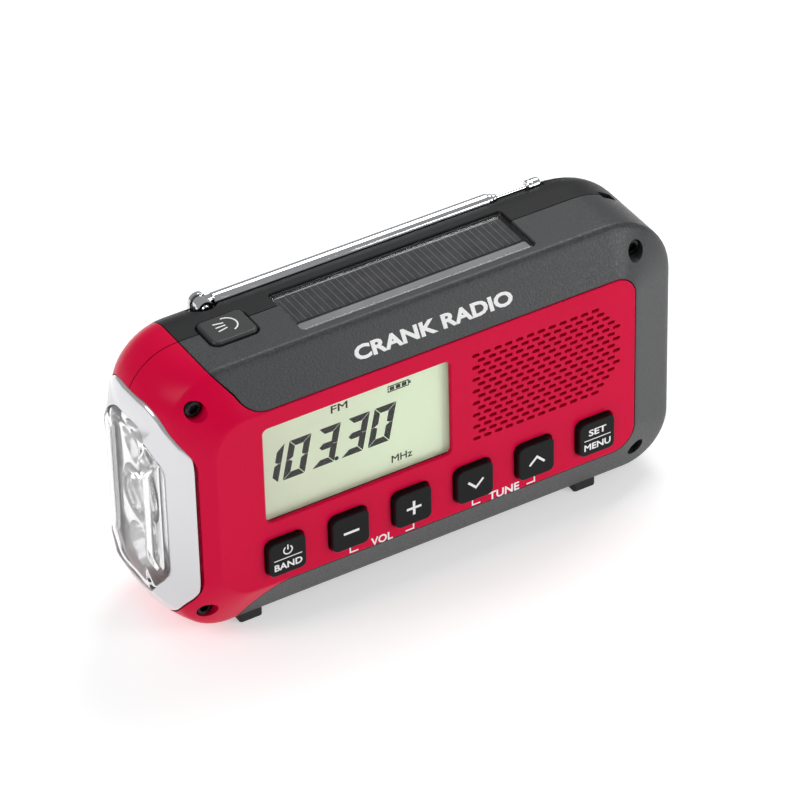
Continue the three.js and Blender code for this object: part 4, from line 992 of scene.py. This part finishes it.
finish_piece(ring_skin("torch_lens_border", border), silver_coat, "case", "clear_plastic", angle=60)

# %% [markdown]
# Behind the lens stands one reflector with three bowls, coated like a mirror. Each bowl is a
# paraboloid, so its light leaves as a beam. The middle LED has a round collimator lens that
# reaches towards the window, with a ring round it. A skirt round the bowls closes the lens's seat.

# %% Reflector and collimator
REFLECTOR_FRONT, REFLECTOR_BACK = -72.8, -60.8
BOWLS = [(LENS_Z, 8.4, 2.9), (57.3, 6.4, 2.2), (24.5, 6.4, 2.2)]
reflector = rect_stack("torch_reflector_bowls", "x", (PARTING, LENS_Z), (18.4, 47.6), 6,
                       [(0.4, REFLECTOR_FRONT), (0, REFLECTOR_FRONT + 0.4), (0, REFLECTOR_BACK)])
fuse(reflector, outline_solid("skirt", "x", lens_outline(-6.3), -70.9, -70.3))
depth = REFLECTOR_BACK - REFLECTOR_FRONT
for centre, radius, hole in BOWLS:
    steps = [hole + (radius - hole) * k / 14 for k in range(15)]
    bowl = [(r, REFLECTOR_BACK - depth * ((r ** 2 - hole ** 2) / (radius ** 2 - hole ** 2))) for r in steps]
    bowl = [(0, REFLECTOR_BACK + 1), (hole, REFLECTOR_BACK + 1), *bowl, (radius + 0.3, REFLECTOR_FRONT - 1),
            (0, REFLECTOR_FRONT - 1)]
    cut(reflector, turned("bowl", "x", bowl, PARTING, centre, 64))
finish_piece(reflector, mirror_coat, "case", "chrome", "torch_reflector")

collimator = turned("torch_collimator", "x", [
    (0, -63.9), (3.0, -63.9), (6.8, -70.2), (8.0, -72.4), (8.0, -73.1), (7.6, -73.5), (6.4, -73.5),
    (6.1, -73.1), (5.3, -73.1), (4.6, -73.9), (2.6, -74.6), (0, -74.8)], PARTING, LENS_Z, 64)
finish_piece(collimator, clear, "case", "clear_plastic")

# %% [markdown]
# ## Keys, display and print
# Lettering and symbols are printed, so each is a sheet of ink 0.05 mm thick that stands on its
# surface. Text starts as a font curve and is made a mesh. Lines are ribbons with mitred corners.

# %% Print helpers
INK, LIFT = 0.05, 0.004


def ribbon(points, width, closed=False):
    """The outline of a stroke along points, with mitred corners, as a list of quads."""
    pts = [Vector(p) for p in points]
    n = len(pts)
    sides = []
    for i, p in enumerate(pts):
        ways = [(p - pts[i - 1]).normalized()] if i or closed else []
        if i < n - 1 or closed:
            ways.append((pts[(i + 1) % n] - p).normalized())
        normals = [Vector((-w.y, w.x)) for w in ways]
        mitre = sum(normals, Vector((0, 0))).normalized()
        reach = width / 2 / max(mitre.dot(normals[0]), 0.3)
        sides.append((p + mitre * reach, p - mitre * reach))
    last = n if closed else n - 1
    return [[sides[i][0], sides[(i + 1) % n][0], sides[(i + 1) % n][1], sides[i][1]] for i in range(last)]


def printed(name, shapes, axis="y", surface=FRONT, direction=-1):
    """Flat shapes as thin sheets of ink on a surface."""
    points, faces = [], []
    for shape in shapes:
        start, n = len(points), len(shape)
        for along in (surface + direction * INK, surface + direction * LIFT):
            points += [place(axis, u, v, along) for u, v in shape]
        faces += [tuple(range(start, start + n)), tuple(range(start + n, start + 2 * n))]
        faces += [(start + i, start + (i + 1) % n, start + n + (i + 1) % n, start + n + i) for i in range(n)]
    return solid_from(name, points, faces)


def lettering(name, text, left, base, width, height, surface=FRONT, bold=0.025):
    """Text on a face that looks to the front, scaled to a width and a capital height."""
    font = bpy.data.curves.new(name, "FONT")
    font.body, font.extrude, font.resolution_u = text, 0.03, 3
    font.bevel_depth, font.bevel_resolution = bold, 0
    holder = new_object(name, font)
    bpy.context.view_layer.update()
    mesh = bpy.data.meshes.new_from_object(holder.evaluated_get(bpy.context.evaluated_depsgraph_get()))
    bpy.data.objects.remove(holder)
    lows = [min(v.co[k] for v in mesh.vertices) for k in (0, 1, 2)]
    spans = [max(v.co[k] for v in mesh.vertices) - low for k, low in enumerate(lows)]
    for v in mesh.vertices:
        x, z, rise = ((v.co[k] - lows[k]) / spans[k] for k in (0, 1, 2))
        v.co = Vector((left + x * width, surface - INK * rise - LIFT, base + z * height)) * MM
    with editing(mesh) as bm:
        bmesh.ops.remove_doubles(bm, verts=bm.verts, dist=1e-6)
        bmesh.ops.recalc_face_normals(bm, faces=bm.faces)
    mesh.materials.clear()
    return new_object(name, mesh)


# %% Front keys
KEY_TOP = -23.9


def chevron(x, z, up):
    tip = 1.15 * up
    return ribbon([(x - 2.3, z - tip), (x, z + tip), (x + 2.3, z - tip)], 0.65)


def strokes(width, *lines):
    """Straight strokes of one width, each from one point to another."""
    return [quad for start, end in lines for quad in ribbon([start, end], width)]


symbols = {
    "power": [*ribbon(arc(-45.1, 27.2, 1.25, 125, 415, 24), 0.36),
              *strokes(0.36, ((-45.1, 27.3), (-45.1, 28.9))), *strokes(0.26, ((-49.2, 24.8), (-41.0, 24.8)))],
    "volume_down": strokes(0.75, ((-28.6, KEY_Z), (-24.0, KEY_Z))),
    "volume_up": strokes(0.75, ((-9.7, KEY_Z), (-5.3, KEY_Z)), ((-7.5, KEY_Z + 0.4), (-7.5, KEY_Z + 2.2)),
                         ((-7.5, KEY_Z - 2.2), (-7.5, KEY_Z - 0.4))),
    "tune_down": chevron(KEY_X[3], KEY_Z, -1), "tune_up": chevron(KEY_X[4], KEY_Z, 1),
    "menu": strokes(0.26, ((44.8, 24.8), (53.0, 24.8)))}
words = {"power": [("BAND", -49.2, 21.5, 8.2)], "menu": [("MENU", 44.8, 21.5, 8.2), ("SET", 46.2, 26.0, 5.4)]}
for label, x in zip(KEY_NAMES, KEY_X):
    key = rect_stack("key_" + label + "_cap", "y", (x, KEY_Z), KEY_SIZE, KEY_CORNER,
                     rounded_edge(0.4, KEY_TOP, 1, 5) + [(0, -19.5), (-1, -19.4), (-1, -18.4)])
    finish_piece(key, black, "key_" + label, "black_plastic", "button_" + label)
    prints = [printed("symbol", symbols[label], surface=KEY_TOP)]
    prints += [lettering("word", text, left, base, width, 2.1, surface=KEY_TOP)
               for text, left, base, width in words.get(label, [])]
    mark = joined("key_" + label + "_print", prints)
    finish_piece(mark, print_white, "key_" + label, "display", angle=0)

# %% [markdown]
# The display is a pale reflective film with dark liquid crystal segments. Each digit is seven
# segments with slanted ends, leaned to the right. The digits are made once as flat shapes and
# sheared, as the maker draws them.

# %% Display
FILM_Y, DIGIT_BASE, DIGIT_TALL, DIGIT_WIDE, STROKE, LEAN = -19.2, 46.1, 11.6, 6.4, 1.9, 0.21
FILM_TOP = FILM_Y - 0.02
film = rect_stack("lcd_film", "y", (LCD_X, LCD_Z), (57.0, 31.7), 0.6,
                  [(0.1, FILM_TOP), (0, FILM_Y + 0.1), (0, FILM_Y + 4.2)])
finish_piece(film, lcd_face, "case", "display", "lcd_module")


def digit(left, lit):
    """Segments of one digit: a is the top bar, the letters go clockwise, g is the middle bar."""
    w, h, t, g = DIGIT_WIDE, DIGIT_TALL, STROKE, 0.13
    m, dip = h / 2, 0.3 * t + g / 2
    shapes = {
        "a": [(g, h), (w - g, h), (w - t - g, h - t), (t + g, h - t)],
        "d": [(g, 0), (w - g, 0), (w - t - g, t), (t + g, t)],
        "b": [(w, h - g), (w, m + g / 2), (w - t / 2, m + g / 2), (w - t, m + dip), (w - t, h - t - g)],
        "c": [(w, g), (w, m - g / 2), (w - t / 2, m - g / 2), (w - t, m - dip), (w - t, t + g)],
        "f": [(0, h - g), (0, m + g / 2), (t / 2, m + g / 2), (t, m + dip), (t, h - t - g)],
        "e": [(0, g), (0, m - g / 2), (t / 2, m - g / 2), (t, m - dip), (t, t + g)],
        "g": [(t / 2 + g, m), (t + g, m + t / 2), (w - t - g, m + t / 2), (w - t / 2 - g, m),
              (w - t - g, m - t / 2), (t + g, m - t / 2)]}
    return [[(left + u + LEAN * v, DIGIT_BASE + v) for u, v in shapes[s]] for s in lit]


ink = []
for left, lit in ((-51.3, "bc"), (-43.46, "abcdef"), (-34.81, "abcdg"), (-26.23, "abcdg"),
                  (-18.38, "abcdef")):
    ink += digit(left, lit)
ink.append(arc(-27.6, 46.7, 0.62, 0, 337.5, 15))
ink += ribbon([(-11.9, 61.4), (-5.9, 61.4), (-5.9, 63.1), (-11.9, 63.1)], 0.28, closed=True)
ink += [round_rect(x, 62.25, 1.35, 1.15, 0.1, 2) for x in (-10.75, -8.95, -7.15)]
ink.append(round_rect(-5.45, 62.25, 0.5, 0.9, 0.1, 2))
figures = [printed("lcd_figures", ink, surface=FILM_TOP)]
figures += [lettering("lcd_word", text, left, base, width, 2.3, surface=FILM_TOP, bold=0.012)
            for text, left, base, width in (("MHz", -11.4, 38.4, 6.2), ("FM", -28.8, 61.4, 4.9))]
finish_piece(joined("lcd_segments", figures), lcd_ink, "case", "display", angle=0)

window = rect_stack("lcd_window_pane", "y", (LCD_X, LCD_Z), (57.6, 32.3), 1.4,
                    [(0.15, -20.7), (0, -20.55), (0, -19.5)])
finish_piece(window, window_clear, "case", "clear_plastic", "lcd_window")

# %% Panel print
brackets = []
for x, way in ((-25.8, 1), (-6.7, -1), (11.3, 1), (30.4, -1)):
    brackets += ribbon([(x, 18.6), (x, 16.7), (x + way * 2.4, 16.7)], 0.4)
legend = [printed("brackets", brackets), lettering("volume", "VOL", -19.6, 16.0, 6.6, 2.6),
          lettering("tune", "TUNE", 16.3, 16.0, 9.4, 2.6)]
finish_piece(joined("panel_print", legend), print_white, "case", "display", angle=0)

# %% [markdown]
# The torch key is a bar with rounded edges on top, with a printed lamp symbol: an arc for the
# lamp's front and three rays.

# %% Torch key
KEY_CAP_TOP = 84.2
torch_cap = rect_stack("torch_key_cap", "z", TORCH_KEY, TORCH_KEY_SIZE, 1.9,
                       rounded_edge(0.8, KEY_CAP_TOP, -1, 6) + [(0, 80.95), (-1, 80.9), (-1, 79.7)])
finish_piece(torch_cap, key_grey, "torch_key", "black_plastic", "torch_button")
rays = [((-47.2, 0.3 + rise), (-50.0, 0.3 + rise * 1.5)) for rise in (-1.1, 0, 1.1)]
lamp_shapes = ribbon(arc(-46.9, 0.3, 2.9, -72, 95, 14), 0.42) + strokes(0.42, *rays)
lamp_print = printed("torch_key_print", lamp_shapes, "z", KEY_CAP_TOP, 1)
finish_piece(lamp_print, print_white, "torch_key", "display", angle=0)

# %% [markdown]
# ## The solar panel
# A clear window lies flush in the top. Under it lie a pale grey strip along the front, and the cell,
# which is crossed by fine silver contacts at an even pitch. Geometry Nodes repeat one contact.

# %% Solar panel
solar_pane = rect_stack("solar_pane", "z", SOLAR_CENTRE, SOLAR_SIZE, 1.0,
                        [(0.45, 83.1), (0, 82.75), (0, 81.9)])
finish_piece(solar_pane, window_clear, "case", "clear_plastic", "solar_window")
cell = rect_stack("solar_wafer", "z", (3.5, 0.2), (67.2, 12.3), 0.2,
                  [(0.1, 81.6), (0, 81.5), (0, 80.7)], steps=2)
finish_piece(cell, silicon, "case", "solar_silicon", "solar_cell")
strip = rect_stack("solar_border", "z", (3.5, -8.7), (67.8, 3.8), 0.5,
                   [(0.15, 81.75), (0, 81.6), (0, 80.9)])
finish_piece(strip, strip_grey, "case", "dark_plastic")
CONTACT_Z, CONTACT_PITCH = 81.605, 1.9
contact = box_solid("contact", -0.06, 0.06, -6.05, 6.05, 0, 0.03)
contact_points = [(-29.2 + CONTACT_PITCH * i, 0.2, CONTACT_Z) for i in range(35)]
contacts = copies_at("solar_contacts", contact, contact_points, silver_ink)
busbar = box_solid("busbar", -29.8, 36.8, 5.5, 5.9, CONTACT_Z, CONTACT_Z + 0.04)
finish_piece(joined("solar_contact_lines", [contacts, busbar]), silver_ink, "case", "chrome", angle=0)

# %% [markdown]
# ## The top band
# The slanting band carries printed words. They are generic: they say what the object is. The text
# is made flat, then turned to lie on the slope.

# %% Band print
BAND_RISE, BAND_LIFT = 4.0, 0.03
band_words = lettering("band_print", "CRANK RADIO", -21.0, 0, 47.0, 3.9, surface=0, bold=0.04)
along = Vector((0, SLOPE_DEPTH, SLOPE["top"])).normalized()
out_of = Vector((0, -along.z, along.y))
foot = Vector((0, FRONT, TOP - SLOPE["top"])) + along * BAND_RISE
for v in band_words.data.vertices:
    v.co = Vector((v.co.x, 0, 0)) + (foot * MM) + along * v.co.z - out_of * (v.co.y - BAND_LIFT * MM)
finish_piece(band_words, print_white, "case", "display", angle=0)

# %% [markdown]
# ## The antenna
# The antenna is three thin chromed tubes and a rod that slide into each other. The open end of each
# tube is rolled in, which grips the next one, and the outer tube ends in a pressed knuckle between
# the two ears of a swivel. Turned pieces suit tubes, because one profile gives the rolled end too.

# %% Antenna
def tube(name, start, end, r, wall=0.28):
    """A tube along X with a rolled front edge and a hollow bore."""
    profile = [(0, start), (r - 0.15, start), (r, start + 0.15), (r, end - 0.9), (r - 0.06, end - 0.55),
               (r - 0.14, end - 0.25), (r - 0.22, end - 0.05), (r - wall - 0.02, end), (r - wall, end - 0.2),
               (r - wall, start + 1.2), (0, start + 1.2)]
    return turned(name, "x", profile, ANTENNA_Y, ANTENNA_Z, 40)


OUTER_START = -43.8
outer_tube = tube("antenna_outer_tube", OUTER_START, 38.8, 2.0)
knuckle = rod("knuckle", "y", ANTENNA_Y - 1.3, ANTENNA_Y + 1.3, 1.9, PIVOT_X, ANTENNA_Z, 40, chamfer=0.25)
web = rect_stack("web", "x", (ANTENNA_Y, ANTENNA_Z), (2.6, 3.0), 0.5, [(0, PIVOT_X), (0, OUTER_START + 0.4)])
fuse(outer_tube, knuckle, web)
cut(outer_tube, rod("eye", "y", ANTENNA_Y - 2, ANTENNA_Y + 2, 1.0, PIVOT_X, ANTENNA_Z, 24))
finish_piece(outer_tube, chrome, "antenna_first", "chrome", "antenna_tube_1")
middle_tube = tube("antenna_middle_tube", -39.2, 40.0, 1.6)
finish_piece(middle_tube, chrome, "antenna_second", "chrome", "antenna_tube_2")
inner_tube = tube("antenna_inner_tube", -37.6, 41.2, 1.2)
finish_piece(inner_tube, chrome, "antenna_third", "chrome", "antenna_tube_3")
tip_rod = turned("antenna_tip_rod", "x", [
    (0, -36), (0.7, -36), (0.7, 50.2), (1.0, 50.4), (1.4, 50.4), (1.7, 50.7), (1.7, 51.3), (1.5, 51.5),
    (1.5, 51.8), (1.7, 52.0), (1.7, 53.6), (1.55, 54.1), (1.2, 54.45), (0.7, 54.6), (0, 54.6)],
    ANTENNA_Y, ANTENNA_Z, 40)
finish_piece(tip_rod, chrome, "antenna_last", "chrome", "antenna_rod")

EAR_RADIUS = 2.4
swivel = turned("antenna_swivel_ears", "z", [
    (0, 75.1), (3.1, 75.1), (3.4, 75.4), (3.4, 80.1), (3.1, 80.5), (0, 80.5)], PIVOT_X, ANTENNA_Y, 48)
for side in (-1, 1):
    inside, outside = ANTENNA_Y + side * 1.5, ANTENNA_Y + side * 2.7
    ear = turned("ear", "y", [(0, inside), (EAR_RADIUS, inside), (EAR_RADIUS, outside - side * 0.25),
                              (EAR_RADIUS - 0.25, outside), (0, outside)], PIVOT_X, ANTENNA_Z, 40)
    neck = box_solid("neck", PIVOT_X - EAR_RADIUS, PIVOT_X + EAR_RADIUS, *sorted((inside, outside)),
                     79.8, ANTENNA_Z)
    fuse(swivel, ear, neck)
half_rivet = [(0, 3.3), (0.7, 3.3), (1.1, 3.1), (1.25, 2.7), (0.9, 2.5)]
head = [(r, ANTENNA_Y - out) for r, out in half_rivet] + [(r, ANTENNA_Y + out) for r, out in half_rivet[::-1]]
fuse(swivel, turned("rivet", "y", head, PIVOT_X, ANTENNA_Z, 32))
finish_piece(swivel, chrome, "antenna_swivel_body", "chrome", "antenna_base")

# %% [markdown]
# ## The crank
# The crank folds flat into its dish. The hub carries two ears and a pin, the arm turns over on the
# pin, and the knob spins on the arm's own rivet. The arm is a moulded bar with rounded edges and a
# shallow sunk panel, which keeps its walls even. Geometry Nodes place the knob's finger ribs.

# %% Crank
KNOB_X, HINGE_RADIUS, ARM_HALF = CRANK_X + CRANK_ARM, 2.0, 4
hub = turned("crank_hub_moulding", "y", [
    (0, 4.2), (3, 4.2), (3, 10.2), (8.0, 10.2), (8.5, 10.7), (8.5, 19.2), (8.1, 19.6), (0, 19.6)],
    CRANK_X, CRANK_Z, 64)
for side in (-1, 1):
    low, high = sorted((CRANK_Z + side * 4.3, CRANK_Z + side * 7.3))
    ear = rod("ear", "z", low, high, HINGE_RADIUS, CRANK_X, ARM_PLANE, 40, chamfer=0.2)
    neck = box_solid("neck", CRANK_X - HINGE_RADIUS, CRANK_X + HINGE_RADIUS, 18.9, ARM_PLANE,
                     low + 0.02, high - 0.02)
    fuse(hub, ear, neck)
cut(hub, rod("pin_bore", "z", 30, 54, 1.25, CRANK_X, ARM_PLANE, 32))
finish_piece(hub, dark, "crank_shaft", "dark_plastic", "crank_hub")

pin = rod("crank_pin", "z", 34.7, 49.3, 1.2, CRANK_X, ARM_PLANE, 32, chamfer=0.3)
finish_piece(pin, steel, "crank_shaft", "steel", "crank_hinge_pin")


def arm_ring(inset, y):
    """The arm's outline at one depth: square over the hinge and round at the knob."""
    half = ARM_HALF - inset
    outline = [(CRANK_X, CRANK_Z - half), *arc(KNOB_X, CRANK_Z, half, -90, 90, 24), (CRANK_X, CRANK_Z + half)]
    return [(x, y, z) for x, z in outline]


arm = skin("crank_arm_bar", [arm_ring(inset, y) for inset, y in (
    (0.7, ARM_INNER), (0.2, ARM_INNER + 0.2), (0, ARM_INNER + 0.7), (0, 23.2), (0.2, 23.7), (0.7, 23.9))])
barrel = rod("barrel", "z", CRANK_Z - ARM_HALF, CRANK_Z + ARM_HALF, HINGE_RADIUS, CRANK_X, ARM_PLANE, 40,
             chamfer=0.3)
rivet = rod("rivet", "y", 12.4, ARM_PLANE, 1.2, KNOB_X, CRANK_Z, 24)
fuse(arm, barrel, rivet)
panel = rect_stack("panel", "y", (KNOB_X - 10.4, CRANK_Z), (10.0, 4.4), 1.6,
                   [(0.25, 23.3), (0, 23.6), (0, 26)])
eye = rod("eye", "z", 30, 54, 1.35, CRANK_X, ARM_PLANE, 32)
dimple = turned("dimple", "y", [(0, 23.4), (2.0, 23.5), (2.3, 23.9), (2.3, 26), (0, 26)], KNOB_X, CRANK_Z, 40)
cut(arm, panel, eye, dimple)
finish_piece(arm, black, "crank_lever", "black_plastic", "crank_arm")

knob = turned("crank_knob_barrel", "y", [
    (0, 12.0), (1.35, 12.0), (1.35, 10.9), (3.4, 10.9), (4.0, 11.2), (4.2, 11.8), (4.05, 13.4), (3.9, 15.2),
    (4.05, 17.2), (4.25, 18.8), (4.1, 19.3), (3.6, 19.6), (1.35, 19.6), (1.35, 19.58), (0, 19.58)],
    KNOB_X, CRANK_Z, 64)

# %% Knob ribs
rib_shape = rect_stack("rib_shape", "y", (4.05, 0), (0.8, 0.55), 0.22,
                       [(0.15, 11.9), (0, 12.2), (0, 18.3), (0.15, 18.6)], steps=3)
tree, sizes, out = node_tree("knob_ribs", {"Rib": "Object", "Material": "Material", "Count": "Int",
                                           "X": "Float", "Z": "Float"})
middle = add(tree, "GeometryNodePoints", {"Count": sizes["Count"], "Position": (0, 0, 0)}).outputs[0]
number = add(tree, "GeometryNodeInputIndex").outputs[0]
turn = maths(tree, "MULTIPLY", maths(tree, "DIVIDE", number, sizes["Count"]), 2 * math.pi)
ribs = on_points(tree, middle, sizes["Rib"], Rotation=vector_of(tree, 0, turn, 0))
ribs = moved_by(tree, ribs, vector_of(tree, sizes["X"], 0, sizes["Z"]))
finish_tree(tree, out, ribs, sizes["Material"])
rib_ring = run_tree("rib_ring", tree, {"Rib": rib_shape, "Material": black, "Count": 24,
                                       "X": KNOB_X * MM, "Z": CRANK_Z * MM})
bpy.data.objects.remove(rib_shape)
finish_piece(joined("crank_knob_grip", [knob, rib_ring]), black, "crank_handle", "black_plastic",
             "crank_knob")

# %% [markdown]
# ## Battery door and socket cover
# The battery door is a flush panel with a row of grip ribs near its free edge, where a thumb pulls
# it down. The socket cover closes the right end and has a shallow recess for a finger.

# %% Battery door
def leaf(name, axis, outline, start, end):
    """A hinged panel: one outline along its hinge, a little smaller at its two ends."""
    cu, cv = (sum(p[k] for p in outline) / len(outline) for k in (0, 1))
    rings = []
    for along, inset in ((start, 0.12), (start + 0.12, 0), (end - 0.12, 0), (end, 0.12)):
        shrunk = [[w - math.copysign(min(inset, abs(w - c)), w - c) for w, c in ((u, cu), (v, cv))]
                  for u, v in outline]
        rings.append([place(axis, u, v, along) for u, v in shrunk])
    return skin(name, rings)


door = leaf("battery_door_panel", "x", [(22, 36.8), (21.8, 37), (20, 37), (20, 19),
                                        *arc(21, 19, 1, 180, 360, 12)[1:]], 7, 67)
grip = rect_stack("grip", "y", (0, 0), (16.0, 0.8), 0.38, [(0.15, 21.6), (0, 21.8), (-0.15, 22.1)], steps=3)
grooves = copies_at("grip_grooves", grip, [(DOOR_X, 0, 30.5 + 1.5 * i) for i in range(4)], dark)
cut(door, grooves)
finish_piece(door, dark, "door", "dark_plastic", "battery_door")

# %% Socket cover
cover = leaf("socket_cover", "z", [(75.6, 9.05), (75.6, -8), (77.3, -8), (77.5, -7.8), (77.5, 9.05),
                                   *arc(76.55, 9.05, 0.95, 0, 180, 12)[1:-1]], 40, 62)
recess = rect_stack("recess", "x", (-5.6, PORT_Z), (2.2, 9.0), 0.8,
                    [(0.35, 76.75), (0, 77.1), (-0.2, 77.6)], steps=5)
cut(cover, recess)
finish_piece(cover, soft_rubber, "cover", "rubber", "port_cover")

# %% [markdown]
# ## Pieces kept from the frame
# The boards, gears, sockets and the battery are the right shape already. They keep their CAD mesh
# and only get a finish. The material goes into the slots of the object, so the mesh isn't touched.

# %% Finishes for the CAD pieces
FINISHES = {
    white_board: ["torch_led_board"], led_clear: ["torch_led_main", "torch_led_upper", "torch_led_lower"],
    black: ["torch_switch", "speaker_frame", "charge_socket", "headphone_socket", "battery_holder"],
    soft_rubber: ["keypad_membrane"], solder_mask: ["key_board", "main_board", "port_board"],
    cone_paper: ["speaker_cone"], brass: ["crank_bush", "generator_pinion", "battery_contact_negative",
                                          "battery_contact_positive"],
    nylon: ["crank_gear", "intermediate_gear"], steel: ["generator", "gear_plate", "usb_socket"],
    sleeve_blue: ["battery_cell"]}
for look, names in FINISHES.items():
    for name in names:
        piece = nodes[name]
        for slot in piece.material_slots:
            slot.link = "OBJECT"
            slot.material = look
print("finished", sum(len(names) for names in FINISHES.values()), "CAD pieces")

# %% [markdown]
# ## Floor, light and camera
# A pale floor and a white surround give the plain studio look. One large soft lamp stands high
# behind the right end, so the shadow falls to the front. Two weaker ones light the torch end and
# the panel.

# %% Floor and light
REACH = 3000
floor = mesh_of("floor", [(-REACH, -REACH, 0), (REACH, -REACH, 0), (REACH, REACH, 0), (-REACH, REACH, 0)],
                [(0, 1, 2, 3)])
paper, tree, shader = new_material("backdrop_paper")
paper_grain = add(tree, "ShaderNodeTexNoise", {"Scale": 400, "Detail": 2}).outputs["Fac"]
feed(tree, shader, {"Base Color": spread(tree, paper_grain, 0, 1, 0.76, 0.78), "Roughness": 0.9,
                    "Specular IOR Level": 0.1, "Emission Color": (1, 1, 1, 1), "Emission Strength": 0.45})
floor.data.materials.append(paper)

world = bpy.data.worlds.new("studio")
bpy.context.scene.world = world
world.use_nodes = True
feed(world.node_tree, world.node_tree.nodes["Background"], {"Color": (1, 1, 1, 1), "Strength": 0.38})

LAMPS = {"key_lamp": ((0.42, 0.3, 0.85), 0.45, 0.45, 4.0), "left_lamp": ((-0.7, 0.05, 0.6), 0.3, 0.4, 2.2),
         "front_lamp": ((0.65, -0.75, 0.4), 0.45, 0.3, 3.4)}
for name, (spot, wide, tall, power) in LAMPS.items():
    data = bpy.data.lights.new(name, "AREA")
    data.shape, data.size, data.size_y, data.energy = "RECTANGLE", wide, tall, power
    lamp = new_object(name, data)
    lamp.location = spot
    lamp.rotation_euler = (Vector((0, 0, 0.04)) - Vector(spot)).to_track_quat("-Z", "Y").to_euler()

# %% Camera
TURN, RISE, ROLL = math.radians(-30.106), math.radians(37), math.radians(-1.415)
AIM, DISTANCE = Vector((-9.87, -22.09, 59.69)) * MM, 1273.6 * MM
back_way = Vector((math.sin(TURN) * math.cos(RISE), -math.cos(TURN) * math.cos(RISE), math.sin(RISE)))
view = bpy.data.cameras.new("view")
view.lens, view.sensor_width = 225, 36
camera = new_object("view", view)
camera.location = AIM + back_way * DISTANCE
level = back_way.to_track_quat("Z", "Y")
camera.rotation_euler = (level @ Matrix.Rotation(ROLL, 3, "Z").to_quaternion()).to_euler()
bpy.context.scene.camera = camera
bpy.context.scene.view_settings.view_transform = "Standard"
